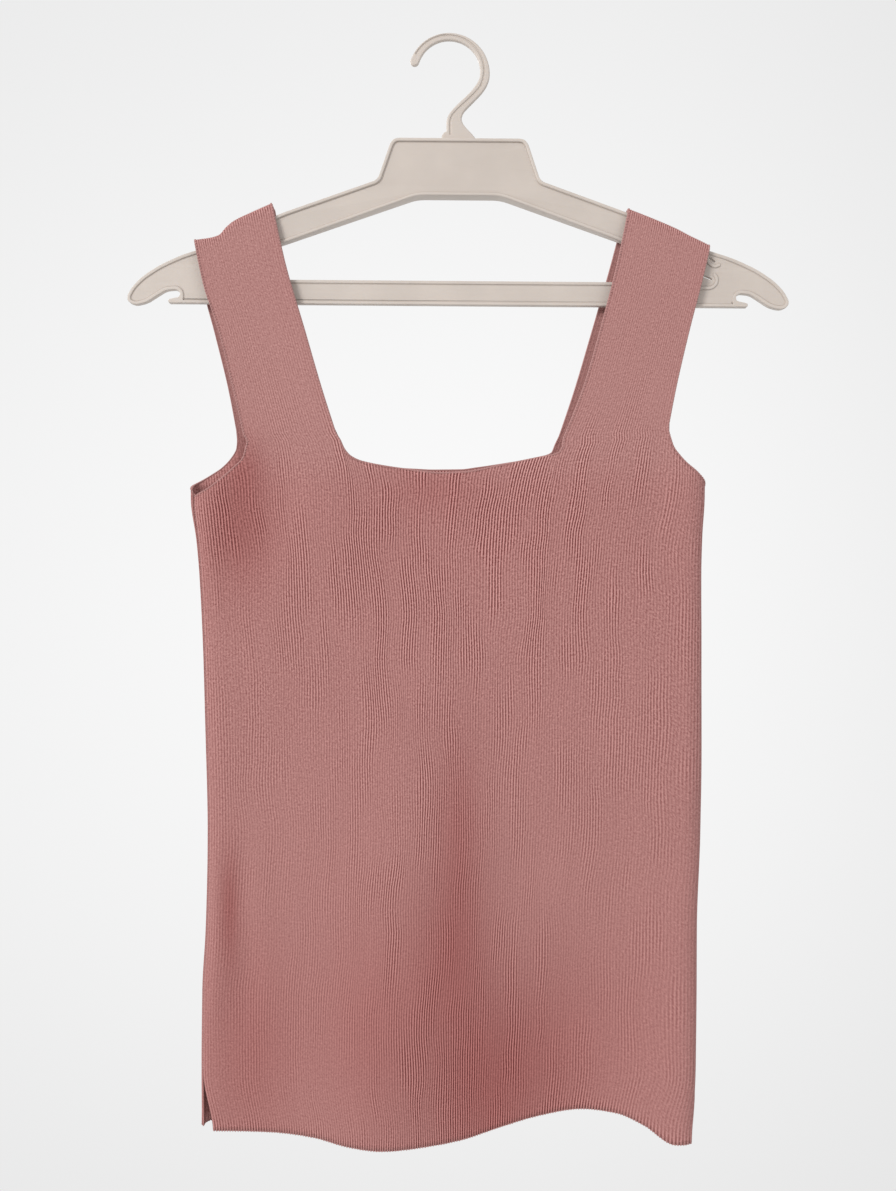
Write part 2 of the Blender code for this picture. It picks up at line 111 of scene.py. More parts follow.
# Waves of the hanging hem, both panels together: centre, width, forward push
WAVES = ((-42.0, 56.0, -10.0), (84.0, 44.0, 8.0), (150.0, 26.0, -6.0))
WAVE_TOP, WAVE_FOOT = -400.0, -690.0

# A crease fades over this share of its length, up and down from its middle,
# swerves by so much of its width, and is so much wider at its foot
CREASE_SPAN = 0.62
SWERVE, SWERVE_EVERY = 0.18, 17.0
FOOT_WIDER = 0.4
# Creases of one panel, as soft ridges and troughs:
# top across and height, foot across and height, width, push out
FRONT_CREASES = (
    (-150, -264, -149, -328, 12.0, 2.4),
    (-113, -259, -110, -330, 18.0, -3.0),
    (-147, -517, -146, -604, 8.0, 1.6),
    (-128, -517, -127, -604, 8.0, -1.6),
    (-14, -262, -8, -330, 34.0, -1.4),
    (-26, -450, -36, -690, 32.0, 3.2),
    (36, -446, 48, -700, 32.0, -3.2),
    (128, -262, 134, -330, 12.0, -1.0),
    (112, -520, 146, -470, 16.0, 0.7),
)
BACK_CREASES = (
    (-136, -276, -140, -350, 10.0, -1.6),
    (-120, -268, -112, -350, 12.0, 1.0),
    (30, -262, 22, -340, 36.0, -1.4),
    (126, -270, 120, -366, 11.0, -1.9),
    (138, -470, 146, -575, 8.0, -1.2),
    (-60, -430, -70, -560, 26.0, 1.1),
    (-20, -420, -14, -620, 20.0, -1.0),
)

# Where the ribs are stretched open, with painted shade in their valleys: across, height,
# half width, half height, how much
OPEN_RIBS = (
    (2, -296, 84, 66, 0.62),
    (-60, -350, 70, 90, 0.14),
    (-22, -610, 26, 170, 0.30),
    (30, -420, 110, 130, 0.22),
    (95, -300, 60, 60, 0.25),
    (-131, -300, 26, 38, 0.35),
    (28, -610, 42, 80, 0.30),
    (22, -690, 64, 60, 0.25),
)
CLOSED = 0.16  # elsewhere
STRAP_CLOSED, STRAP_FOOT = 0.45, -270.0  # the straps' share of that, from this height
HEM_OPEN = 0.5  # more along the hem
SHOULDER_OPEN = 0.42  # more where a strap bends over the hanger

# Where the colour is deeper than on the straps, front and back, partly dyed deeper, partly
# painted shade: across, height, half width, half height, how much
DYE_AND_SHADE_PATCHES = (
    (2, -300, 96, 50, 0.09),
    (-10, -284, 28, 18, 0.20),
    (-128, -268, 12, 16, 0.30),
    (-131, -304, 22, 44, 0.46),
    (-137, -545, 6, 34, 0.45),
    (-124, -635, 32, 66, 0.34),
    (6, -500, 14, 56, 0.34),
    (2, -575, 24, 50, 0.36),
    (20, -660, 32, 60, 0.46),
    (-42, -620, 38, 68, 0.34),
    (66, -645, 40, 64, 0.36),
    (122, -620, 30, 70, 0.08),
)
BODY_DYE_AND_SHADE = 0.15  # all over the body, partly dyed deeper, partly painted shade

# Hem: distance across, height
HEM_FRONT = (
    (-160, -685.6), (-110, -685.2), (-84, -686.6), (-62, -690.6), (-42, -692.2),
    (-18, -691.0), (6, -689.4), (32, -684.4), (56, -679.8), (84, -676.2), (104, -677.6),
    (122, -683.4), (140, -692.6), (160, -691.6),
)
HEM_BACK = (
    (-160, -685.4), (-100, -686.5), (-60, -688.2), (0, -687.4), (56, -680.6), (90, -678.0),
    (130, -684.5), (160, -689.5),
)

# Top of the body: distance from the panel's left edge along the cloth, height.
# "zones" are the ribs at which the straps and the neck start: rib, its distance
# at the top of the body and its distance low down.
FRONT = {
    "name": "front",
    "face": -1,
    "hem": HEM_FRONT,
    "creases": FRONT_CREASES,
    "zones": (
        (0, 0.0, 0.0),
        (21, 33.2, 39.0),
        (56, 91.4, 98.0),
        (128, 230.1, 211.5),
        (168, 297.0, 286.5),
    ),
    "left_armhole": (
        (0, -289.0), (8.5, -284.8), (18.8, -276.8), (25.5, -270.4), (30.0, -265.6),
        (33.2, -254.8),
    ),
    "neck": (
        (91.4, -254.2), (94.0, -259.8), (98.0, -264.2), (105.0, -267.4), (130.0, -271.8),
        (155.0, -274.4), (168.0, -274.0), (193.0, -269.4), (218.0, -264.3),
        (227.6, -262.1), (230.1, -258.4),
    ),
    "right_armhole": (
        (297.0, -250.5), (299.6, -258.2), (303.0, -263.0), (308.0, -268.4),
        (314.0, -273.2), (321.0, -279.6), (328.0, -286.0),
    ),
    # up each strap: left edge across and height, right edge across and height
    "left_strap": (
        (-127.6, -254.8, -69.4, -254.2),
        (-135.3, -221.0, -80.0, -221.0),
        (-144.3, -185.0, -90.5, -185.0),
        (-153.6, -157.0, -102.8, -143.0),
        (-159.2, -131.0, -110.6, -108.0),
    ),
    "right_strap": (
        (69.3, -258.4, 136.2, -250.5),
        (83.8, -222.0, 142.0, -221.0),
        (95.0, -184.0, 150.6, -184.5),
        (105.5, -143.5, 158.3, -155.0),
        (112.2, -111.0, 163.2, -133.0),
    ),
}
BACK = {
    "name": "back",
    "face": 1,
    "hem": HEM_BACK,
    "creases": BACK_CREASES,
    "zones": (
        (0, 0.0, 0.0),
        (21, 35.2, 40.0),
        (58, 95.6, 106.0),
        (131, 238.4, 224.0),
        (169, 301.4, 296.0),
    ),
    "left_armhole": (
        (0, -289.0), (3.4, -284.8), (8.0, -281.0), (13.7, -277.4), (19.5, -273.8),
        (24.7, -270.4), (29.1, -266.4), (32.8, -261.6), (34.9, -257.2), (35.2, -253.6),
    ),
    "neck": (
        (95.6, -250.6), (98.4, -257.0), (102.6, -261.6), (110.0, -265.2), (134.0, -269.6),
        (150.0, -270.6), (160.0, -271.1), (178.0, -271.0), (188.0, -269.8),
        (204.0, -267.4), (228.0, -263.0), (236.0, -260.2), (238.4, -254.6),
    ),
    "right_armhole": (
        (301.4, -247.0), (304.0, -254.6), (308.0, -260.0), (314.0, -266.2),
        (321.0, -272.6), (326.5, -279.0), (331.0, -286.0),
    ),
    "left_strap": (
        (-134.4, -253.6, -73.8, -250.6),
        (-140.9, -219.0, -84.2, -219.0),
        (-149.2, -184.5, -95.0, -184.5),
        (-156.4, -156.0, -105.4, -143.0),
        (-159.8, -131.0, -110.8, -108.0),
    ),
    "right_strap": (
        (68.8, -254.6, 131.8, -247.0),
        (80.4, -220.0, 137.8, -219.0),
        (91.0, -184.0, 146.6, -184.5),
        (102.6, -143.5, 155.8, -155.0),
        (111.2, -111.0, 162.8, -133.0),
    ),
}
YOKE = -270.0  # the height at which the distances along the top are measured

# Ridge of each strap over the hanger arm: share across, distance across, height
LEFT_RIDGE = (
    (0.0, -160.0, -127.8),
    (0.2, -150.2, -126.4),
    (0.32, -144.6, -124.6),
    (0.42, -139.8, -119.4),
    (0.52, -135.0, -115.6),
    (0.75, -123.8, -110.2),
    (1.0, -111.7, -104.8),
)
RIGHT_RIDGE = (
    (0.0, 112.6, -108.2),
    (0.2, 122.8, -112.2),
    (0.4, 133.0, -116.4),
    (0.6, 143.2, -120.9),
    (0.76, 151.4, -125.2),
    (0.9, 158.5, -128.6),
    (1.0, 163.6, -131.2),
)
# Cloth round the hanger arm: station, half depth, drop under the ridge
OVER_ARM = ((4, 6.35, 2.9), (5, 5.55, 0.85), (6, 3.2, 0.15), (7, 0.15, 0.0))

# ---- sewing ----
EDGE_HALVES = (0.6, 0.95)  # half width and depth of the turned edge, neck and armholes
EDGE_IN = 0.25  # from the cloth's end to the middle of that edge
ALLOWANCE_HALVES = (0.75, 0.6)  # the same for the seams' turned-in cloth
ALLOWANCE_IN = 0.45  # from the cloth's middle
CORD_SIDES = 8  # faces round either of them
EDGE_PITCH, SEAM_PITCH = 1.4, 2.0  # between two of its rings
SEAM_TOP = -292.0
STITCH_SIZES = ("Pitch", "Length", "Rise", "Slant", "Yarn Radius", "Size Spread", "Seed")
EDGE_STITCHES = (1.75, 1.1, 0.2, 0.35, 0.2, 0.07, 11)
SEAM_STITCHES = (1.5, 2.1, 0.16, 0.3, 0.3, 0.08, 7)
HEM_LOOPS = (1.7, 0.5, 0.0, 0.42, 0.08, 5)  # their pitch is the ribs' own

# ---- hanger ----
FULLER = {"hanger_frame": 0.0, "hanger_hook": 0.5}  # the hook's rod, on each side
CORNER = 5.0  # longest stretch of an edge that a corner's rounding takes
CORNER_STEPS = 4
STRAIGHT = 0.004  # the sine of a bend that counts as no corner
NEAR = 0.02  # points closer than this become one
# The plate and arms are deep, the ends and the bar thin: height, share of the depth
THINNING = ((-142, 0.46), (-118, 1.0))
SOFT_EDGE = {"hanger_frame": 0.6, "hanger_hook": 0.95}
SOFT_FOOT = {"hanger_frame": 1.0, "hanger_hook": 0.25}  # where a step meets the level below
FOOT_ROOM = 0.3  # share of the room to the next outline that such a foot may take
EDGE_TURNS = 4  # steps round a soft edge

# ---- colours, as the eye sees them in plain light, 0 to 1 and linear ----
ROSE = (0.404, 0.201, 0.189)
DEEPEST_DYE_AND_SHADE = (0.72, 0.40, 0.40)  # what the deepest dyeing and painted shade leave of the colour
ROSE_RIDGE = (0.620, 0.335, 0.316)
ROSE_CREST_HIGHLIGHT = (0.700, 0.385, 0.362)  # painted highlight on the ribs' crests, where they are stretched open
# painted shade in the open ribs' valleys, and the colour of the dark flecks
ROSE_VALLEY_SHADE_AND_FLECK = (0.165, 0.030, 0.030)
ROSE_PALE = (0.430, 0.222, 0.210)
BEIGE = (0.572, 0.511, 0.464)
# a lighter beige: random patches and sharp convex edges
BEIGE_LIGHTER = tuple(1.07 * c for c in BEIGE)
BEIGE_DULL = (0.9 * BEIGE[0], 0.885 * BEIGE[1], 0.86 * BEIGE[2])
# painted shade in the concave feet of the moulding's steps
FOOT_SHADE_BROWN = (0.330, 0.255, 0.205)
PAPER_DARK, PAPER_LIGHT = (0.62, 0.62, 0.61), (0.66, 0.66, 0.65)
ROOM_WHITE = (0.975, 0.975, 0.976)

# ---- studio: lengths in metres ----
# The room's brightness: a level, and more of it with the cube of a direction's
# part across (0), towards the back (1) or up (2). It is brightest behind the
# garment, and a little brighter on the left and above.
ROOM_LEVEL = 0.688
ROOM_CUBED = ((0, -0.24), (2, 0.10), (1, 0.287))
# name, place, size, power, colour
LAMPS = (
    ("key", (-3.3, -3.5, 1.35), 2.0, 158.0, (1.0, 0.985, 0.965)),
    ("fill", (3.2, -2.6, 0.5), 3.2, 38.0, (1.0, 0.985, 0.97)),
    ("back_left", (-1.2, 1.3, 0.5), 1.2, 9.0, (1.0, 0.99, 0.97)),
)
LAMPS_AIM = (0.0, 0.0, -0.38)
FLOOR_RADIUS, FLOOR_HEIGHT = 1.35, -1.62


# ======== the cloth's form ========


def soft(at):
    at = np.clip(at, 0.0, 1.0)
    return at * at * (3 - 2 * at)


def hump(distance):
    return np.exp(-(distance**2))


def uneven(seed, across, up):
    """Smooth random field from -1 to 1, about one swell to each unit."""
    values = np.random.default_rng(seed).uniform(-1, 1, (64, 64))
    across, up = np.broadcast_arrays(across, up)
    i, j = np.floor(across).astype(int), np.floor(up).astype(int)
    u, v = soft(across - i), soft(up - j)
    rows = []
    for row in (j, j + 1):
        left, right = values[i % 64, row % 64], values[(i + 1) % 64, row % 64]
        rows.append(left + (right - left) * u)
    return rows[0] + (rows[1] - rows[0]) * v


def swells(rows, rib, z):
    return sum(much * uneven(seed, rib / wide, z / high) for seed, wide, high, much in rows)


def leans(step, rise):
    """Slope at each row of a line that never overshoots its rows."""
    slope = rise / step
    inner = np.zeros_like(slope[1:])
    same = slope[1:] * slope[:-1] > 0
    total = slope[1:] + slope[:-1]
    inner[same] = (2 * slope[1:] * slope[:-1])[same] / total[same]
    return np.concatenate([slope[:1], inner, slope[-1:]])


def cubic(t, height, low, high, lean_low, lean_high):
    return (
        (2 * t**3 - 3 * t**2 + 1) * low
        + (t**3 - 2 * t**2 + t) * height * lean_low
        + (3 * t**2 - 2 * t**3) * high
        + (t**3 - t**2) * height * lean_high
    )


def along(rows, at, column=1):
    """A smooth line through the rows' points, level past both ends."""
    table = np.array(rows, float)
    place, value = table[:, 0], table[:, column]
    at = np.clip(at, place[0], place[-1])
    step = np.diff(place)
    lean = leans(step, np.diff(value))
    i = np.clip(np.searchsorted(place, at, side="right") - 1, 0, len(step) - 1)
    t = (at - place[i]) / step[i]
    return cubic(t, step[i], value[i], value[i + 1], lean[i], lean[i + 1])


def through(stations, at):
    """The same line for many columns at once, with a station at each whole number."""
    lean = leans(np.ones_like(stations[1:]), np.diff(stations, axis=0))
    i = np.clip(at.astype(int), 0, len(stations) - 2)
    t = (at - i)[:, None]
    return cubic(t, 1.0, stations[i], stations[i + 1], lean[i], lean[i + 1])


def wave(x, z):
    """How far the hanging cloth stands off its flat plane, towards the back."""
    fade = soft((WAVE_TOP - z) / (WAVE_TOP - WAVE_FOOT))
    return fade * sum(push * hump((x - centre) / width) for centre, width, push in WAVES)


def crease(panel, x, z):
    """How far the panel's own creases push it out."""
    push_out = 0.0
    for x0, z0, x1, z1, width, push in panel["creases"]:
        length = math.hypot(x1 - x0, z1 - z0)
        ux, uz = (x1 - x0) / length, (z1 - z0) / length
        down = (x - x0) * ux + (z - z0) * uz
        aside = (x - x0) * uz - (z - z0) * ux
        middle = (down - length / 2) / (CREASE_SPAN * length)
        swerve = SWERVE * width * np.sin(down / SWERVE_EVERY + x0)
        broad = width * (0.85 + FOOT_WIDER * np.clip(down / length, 0, 1))
        push_out = push_out + push * hump((aside + swerve) / broad) * hump(middle**2)
    return push_out


def humps(rows, x, z):
    """Sum of soft humps, each: across, height, half width, half height, how much."""
    total = 0.0
    for across, height, half_width, half_height, much in rows:
        beside, above = (x - across) / half_width, (z - height) / half_height
        total = total + much * hump(beside) * hump(above)
    return total


def open_ribs(panel, rib, x, z):
    """How far the ribs are stretched open, 0 to 1: in patches a few ribs wide."""
    total = CLOSED * (1 + (STRAP_CLOSED - 1) * soft((z - STRAP_FOOT) / 24.0))
    total = total + humps(OPEN_RIBS, x, z)
    patch = swells(RIB_PATCHES, rib, z)
    total = total * (0.45 + 1.4 * soft((patch + 0.35) / 0.85))
    above_hem = z - along(panel["hem"], x)
    return np.clip(total + HEM_OPEN * hump(above_hem / 6.0), 0.0, 1.0)


def dye_and_painted_shade(x, z):
    """How much deeper the colour is than on the straps, 0 to 1: partly dyed deeper, partly
    painted shade.
    """
    level = BODY_DYE_AND_SHADE * soft((STRAP_FOOT + 12.0 - z) / 30.0)
    return np.clip(level + humps(DYE_AND_SHADE_PATCHES, x, z), 0.0, 1.0)


def reach(panel, z):
    """Where the panel starts and ends along the tube, measured from the left fold."""
    left, right = along(SIDES, z, 1), along(SIDES, z, 2)
    around = right - left + (math.pi - 2) * FOLD_R
    turn = -panel["face"]
    start = turn * along(TURN, z, 1) + SEAM_GAP / 2
    end = around - turn * along(TURN, z, 2) - SEAM_GAP / 2
    if panel["face"] < 0:
        slit = soft((HEM_LEVEL + SLIT_RISE - z) / SLIT_RISE)
        start = start + SLIT_LEFT * slit
        end = end - SLIT_RIGHT * slit
    return left, right, around, start, end


def tube(panel, share, z):
    """Points of the flattened tube at shares across the panel."""
    left, right, around, start, end = reach(panel, z)
    a = start + share * (end - start)
    b = around - a
    quarter = FOLD_R * math.pi / 2
    on_left, on_right = a < quarter, b < quarter
    x = left + FOLD_R + a - quarter
    x = np.where(on_left, left + FOLD_R * (1 - np.cos(a / FOLD_R)), x)
    x = np.where(on_right, right - FOLD_R * (1 - np.cos(b / FOLD_R)), x)
    y = np.full_like(x, FOLD_R)
    y = np.where(on_left, FOLD_R * np.sin(a / FOLD_R), y)
    y = np.where(on_right, FOLD_R * np.sin(b / FOLD_R), y)
    inward = np.minimum(x - left, right - x)
    inner_share = np.clip(inward / FOLD_TO_FLAT, 0.0, 1.0)
    y = y + (along(DEPTH, z) - FOLD_R) * (1 - (1 - inner_share) ** 3)
    y = y + crease(panel, x, z) * soft(inward / CREASE_IN)
    return np.stack([x, panel["face"] * y + wave(x, z), z + 0 * x], axis=-1)


def rib_distances(panel, rib):
    """Each rib's distance along the top of the body and low down, and the width."""
    _, _, _, start, end = reach(panel, np.array(YOKE))
    width = float(end - start)
    zones = (*panel["zones"], (RIBS, width, width))
    return along(zones, rib, 1), along(zones, rib, 2), width


def yoke_height(panel, distance):
    """Height of the body's top edge."""
    a, b, c, d = (zone[1] for zone in panel["zones"][1:])

    def strap_base(side, low, high):
        row = panel[side][0]
        share = np.clip((distance - low) / (high - low), 0, 1)
        return row[1] + (row[3] - row[1]) * share

    return np.select(
        [distance < a, distance <= b, distance < c, distance <= d],
        [
            along(panel["left_armhole"], distance),
            strap_base("left_strap", a, b),
            along(panel["neck"], distance),
            strap_base("right_strap", c, d),
        ],
        along(panel["right_armhole"], distance),
    )


def wander(rib, z):
    """Ribs don't run dead straight: how far each is pushed across, in millimetres."""
    from_side = np.minimum(rib, RIBS - rib) / 12.0
    return swells(RIB_WANDER, rib, z) * soft(from_side)


def body(panel, rib, t):
    """Body points, t from 0 at the hem to 1 at the top edge."""
    top, foot, width = rib_distances(panel, rib)
    high = yoke_height(panel, top)
    at_hem = tube(panel, foot / width, np.full_like(rib, HEM_LEVEL - 2.0))
    low = along(panel["hem"], at_hem[..., 0])
    z = low + (high - low) * t
    down = high - z
    bend = BEND_LEFT + (BEND_RIGHT - BEND_LEFT) * soft((rib / RIBS - 0.3) / 0.4)
    near_top = BEND_SHARE * np.exp(-down / BEND_SHORT)
    near_top = near_top + (1 - BEND_SHARE) * np.exp(-down / bend)
    free = soft(down / 16.0) * soft((z - low) / 30.0)
    distance = foot + (top - foot) * near_top + wander(rib, z) * free
    return tube(panel, distance / width, z)


def strap(panel, side, across, q):
    """Strap points at shares across, for each station q; 4 to 7 go over the arm."""
    rows = np.array(panel[side + "_strap"])
    ridge = LEFT_RIDGE if side == "left" else RIGHT_RIDGE
    ridge_x, ridge_z = along(ridge, across, 1), along(ridge, across, 2)
    x = rows[:, 0:1] + (rows[:, 2:3] - rows[:, 0:1]) * across
    z = rows[:, 1:2] + (rows[:, 3:4] - rows[:, 1:2]) * across
    over = np.array(OVER_ARM)
    z[-1] = ridge_z - over[0, 2]
    x = np.vstack([x, (x[-1] + ridge_x) / 2, ridge_x, ridge_x])
    z = np.vstack([z, *(ridge_z - drop for drop in over[1:, 2])])
    first, last = panel["edges"][side]
    base = abs(body(panel, np.array([first, last], float), np.ones(2))[:, 1])
    base = base[0] + (base[1] - base[0]) * across
    rise = soft(q / 3.2)[:, None]
    depth = base * (1 - rise) + over[0, 1] * rise
    depth = np.where(q[:, None] > 4, along(OVER_ARM, q, 1)[:, None], depth)
    points = np.stack([through(x, q), panel["face"] * depth, through(z, q)], axis=-1)
    return points.swapaxes(0, 1)


def outward(grid, face):
    """Each point's direction out of the cloth."""
    across = np.gradient(grid, axis=0)
    up = np.gradient(grid, axis=1)
    return unit(np.cross(across, up) * (-face))


# ======== meshes ========


def in_scene(name, data):
    obj = bpy.data.objects.new(name, data)
    bpy.context.scene.collection.objects.link(obj)
    return obj


def mesh_object(name, points, faces, material):
    mesh = bpy.data.meshes.new(name)
    mesh.from_pydata((np.array(points) * MM).tolist(), [], faces)
    mesh.materials.append(material)
    mesh.polygons.foreach_set("use_smooth", [True] * len(mesh.polygons))
    return in_scene(name, mesh)


def read_at(at, place, values):
    """Points or directions at some places along a line that is given row by row."""
    return np.stack([np.interp(at, place, values[:, i]) for i in range(3)], axis=1)


def unit(ways):
    return ways / np.linalg.norm(ways, axis=-1, keepdims=True)


def zip_rim(faces, outer, inner, flip):
    """Closes a rim between two edges, each a list of (place along it, point)."""
    i = j = 0
    while i < len(outer) - 1 or j < len(inner) - 1:
        if j == len(inner) - 1 or (
            i < len(outer) - 1 and outer[i + 1][0] <= inner[j + 1][0]
        ):
            face = (outer[i][1], outer[i + 1][1], inner[j][1])
            i += 1
        else:
            face = (outer[i][1], inner[j + 1][1], inner[j][1])
            j += 1
        faces.append(face[::-1] if flip else face)


class Skin:
    """Points and faces of one panel, with the rib and the row that each belongs to."""

    def __init__(self):
        self.points, self.faces = [], []
        self.ribs, self.rows, self.openness, self.dye_and_shade = [], [], [], []

    def add(self, grid, rib, row, openness):
        """Adds a grid of points, and gives their numbers."""
        count = grid.shape[0] * grid.shape[1]
        first = len(self.points)
        self.points.extend(grid.reshape(-1, 3))
        self.ribs.extend(np.broadcast_to(rib[:, None], grid.shape[:2]).ravel())
        self.rows.extend(row.ravel())
        self.openness.extend(openness.ravel())
        # how much deeper the colour is: partly dyed deeper, partly painted shade
        self.dye_and_shade.extend(dye_and_painted_shade(grid[..., 0], grid[..., 2]).ravel())
        return np.arange(first, first + count).reshape(grid.shape[:2])

    def cover(self, numbers, flip):
        a, b = numbers[:-1, :-1].ravel(), numbers[1:, :-1].ravel()
        c, d = numbers[1:, 1:].ravel(), numbers[:-1, 1:].ravel()
        quads = np.stack([a, b, c, d], axis=1)
        if flip:
            quads = quads[:, ::-1]
        self.faces.extend(map(tuple, quads.tolist()))


def rib_profile(rib):
    """Round top and valley: 0 in the valleys, which lie at whole numbers."""
    return np.abs(np.sin(np.pi * rib)) ** 1.2


def knit_panel(panel, material):
    """One panel: a ribbed outside, an inside with half the points, and their rims."""
    face = panel["face"]
    zones = [zone[0] for zone in panel["zones"]]
    panel["edges"] = {"left": (zones[1], zones[2]), "right": (zones[3], zones[4])}
    rib = np.arange(RIBS * POINTS_PER_RIB + 1) / POINTS_PER_RIB
    t = np.linspace(0, 1, BODY_ROWS + 1)
    t = t - CLOSER_ENDS * np.sin(2 * math.pi * t)
    body_points = body(panel, np.repeat(rib[:, None], len(t), 1), t[None, :])
    body_rows = rows_up(body_points)
    up_strap = np.linspace(0, 4, 4 * STRAP_STEPS + 1)
    q = np.concatenate([up_strap, np.linspace(4, 7, ARM_STEPS + 1)[1:]])
    skin = Skin()
    outer, inner, lines = {}, {}, {}

    def add(name, ribs, points, out, row, bent=0.0):
        openness = open_ribs(panel, ribs[:, None], points[..., 0], points[..., 2])
        openness = np.clip(openness + bent, 0.0, 1.0)
        relief = RELIEF[0] + (RELIEF[1] - RELIEF[0]) * openness
        lift = relief * rib_profile(ribs)[:, None]
        raised = points + out * lift[..., None]
        inside = (points - out * WALL)[::2, ::2]
        outer[name] = skin.add(raised, ribs, row, openness)
        inner[name] = skin.add(inside, ribs[::2], row[::2, ::2], openness[::2, ::2])
        lines[name] = (points, out)

    add("body", rib, body_points, outward(body_points, face), body_rows)
    for side, (first, last) in panel["edges"].items():
        here = (rib >= first) & (rib <= last)
        distance, _, _ = rib_distances(panel, rib[here])
        share = (distance - distance[0]) / (distance[-1] - distance[0])
        points = strap(panel, side, share, q)
        points[:, 0] = body_points[here, -1]
        # with the body's last rows under it, so that the directions run on smoothly
        out = outward(np.concatenate([body_points[here, -3:-1], points], axis=1), face)
        row = rows_up(points) + body_rows[here, -1:]
        bent = SHOULDER_OPEN * soft((q - 3.6) / 0.4)
        add(side, rib[here], points, out[:, 2:], row, bent)
        outer[side][:, 0] = outer["body"][here, -1]
        inner[side][:, 0] = inner["body"][here[::2], -1]
    for name in outer:
        skin.cover(outer[name], flip=face > 0)
        skin.cover(inner[name], flip=face < 0)
    close_rims(skin, panel, outer, inner, face)
    obj = mesh_object(panel["name"] + "_knit", skin.points, skin.faces, material)
    finish_knit(obj, skin)
    panel["lines"] = lines
    return obj


def rows_up(points):
    """How many knitted rows lie below each point."""
    step = np.linalg.norm(np.diff(points, axis=1), axis=-1)
    return np.pad(step.cumsum(axis=1), ((0, 0), (1, 0))) / COURSE


def close_rims(skin, panel, outer, inner, face):
    """Hem, top edges, sides, and the edges and ends of both straps."""
    flip = face > 0

    def close(outside, inside, turned):
        fine = [(k, int(n)) for k, n in enumerate(outside)]
        coarse = [(2 * k, int(n)) for k, n in enumerate(inside)]
        zip_rim(skin.faces, fine, coarse, turned)

    close(outer["body"][:, 0], inner["body"][:, 0], not flip)
    zones = [zone[0] for zone in panel["zones"]]
    for first, last in ((0, zones[1]), (zones[2], zones[3]), (zones[4], RIBS)):
        a, b = first * POINTS_PER_RIB, last * POINTS_PER_RIB
        top = inner["body"][a // 2 : b // 2 + 1, -1]
        close(outer["body"][a : b + 1, -1], top, flip)
    for name in ("body", "left", "right"):
        for k, turned in ((0, flip), (-1, not flip)):
            close(outer[name][k], inner[name][k], turned)
        if name != "body":
            close(outer[name][:, -1], inner[name][:, -1], flip)


def finish_knit(obj, skin):
    """Drops unused points, and stores the knit's own coordinates."""
    mesh = obj.data
    # the second attribute is partly dyed colour, partly painted shade
    for label, values in (("rib_opening", skin.openness), ("dye_and_shade_depth", skin.dye_and_shade)):
        attribute = mesh.attributes.new(label, "FLOAT", "POINT")
        attribute.data.foreach_set("value", np.array(values, np.float32))
    uv = mesh.uv_layers.new(name="knit")
    corner = np.zeros(len(mesh.loops), np.int32)
    mesh.loops.foreach_get("vertex_index", corner)
    place = np.stack([np.array(skin.ribs), np.array(skin.rows)], axis=1)[corner]
    uv.data.foreach_set("uv", place.astype(np.float32).ravel())
    shape = bmesh.new()
    shape.from_mesh(mesh)
    unused = [v for v in shape.verts if not v.link_faces]
    bmesh.ops.delete(shape, geom=unused, context="VERTS")
    shape.to_mesh(mesh)
    shape.free()


# ======== nodes ========


class Nodes:
    """Short ways to add nodes to a tree and to join them."""

    def __init__(self, tree):
        self.tree = tree

    def node(self, kind, given=(), **settings):
        """A node, with what goes into it by the name or number of the socket."""
        made = self.tree.nodes.new(kind)
        for key, value in settings.items():
            setattr(made, key, value)
        for key, value in dict(given).items():
            self.link(value, made.inputs[key])
        return made

    def link(self, value, socket):
        if isinstance(value, bpy.types.NodeSocket):
            self.tree.links.new(value, socket)
        elif socket.type == "RGBA":
            socket.default_value = (*value, 1.0)
        else:
            socket.default_value = value

    def math(self, operation, *values):
        made = self.node("ShaderNodeMath", enumerate(values), operation=operation)
        return made.outputs[0]

    def times(self, a, b, plus=None):
        if plus is None:
            return self.math("MULTIPLY", a, b)
        return self.math("MULTIPLY_ADD", a, b, plus)

    def vector(self, *values):
        return self.node("ShaderNodeCombineXYZ", enumerate(values)).outputs[0]


# ======== edges and seams ========


def resampled(path, out, pitch):
    """The path's points and directions out, at equal distances."""
    step = np.linalg.norm(np.diff(path, axis=0), axis=1)
    length = np.concatenate([[0], step.cumsum()])
    count = max(2, round(length[-1] / pitch) + 1)
    at = np.linspace(0, length[-1], count)
    return read_at(at, length, path), unit(read_at(at, length, out))


def edge_lines(panel):
    """Left armhole, neck and right armhole, each from left to right."""
    body_points, body_out = panel["lines"]["body"]
    zones = [zone[0] * POINTS_PER_RIB for zone in panel["zones"]]

    def row(first, last):
        return body_points[first : last + 1, -1], body_out[first : last + 1, -1]

    def side(name, k, down):
        points, out = (grid[k] for grid in panel["lines"][name])
        return (points[::-1], out[::-1]) if down else (points, out)

    left, neck = row(0, zones[1] - 1), row(zones[2] + 1, zones[3] - 1)
    right = row(zones[4] + 1, RIBS * POINTS_PER_RIB)
    lines = (
        (left, side("left", 0, False)),
        (side("left", -1, True), neck, side("right", 0, False)),
        (side("right", -1, True), right),
    )
    return [[np.concatenate(column) for column in zip(*pieces)] for pieces in lines]


def swept(path, out, into, half_width, half_depth, points, faces):
    """An oval cord along a path, closed at both ends."""
    rings = []
    for centre, up, aside in zip(path, out, into):
        rings.append(range(len(points), len(points) + CORD_SIDES))
        for i in range(CORD_SIDES):
            angle = 2 * math.pi * i / CORD_SIDES
            lift = up * half_depth * math.sin(angle)
            points.append(centre + lift + aside * half_width * math.cos(angle))
    for low, high in zip(rings, rings[1:]):
        for i in range(CORD_SIDES):
            j = (i + 1) % CORD_SIDES
            faces.append((low[i], low[j], high[j], high[i]))
    faces.append(tuple(rings[0])[::-1])
    faces.append(tuple(rings[-1]))


def into_cloth(path, out, face):
    """Each edge point's directions along the edge, and away from it into the cloth."""
    tangent = unit(np.gradient(path, axis=0))
    return tangent, unit(np.cross(tangent, out) * (-face))


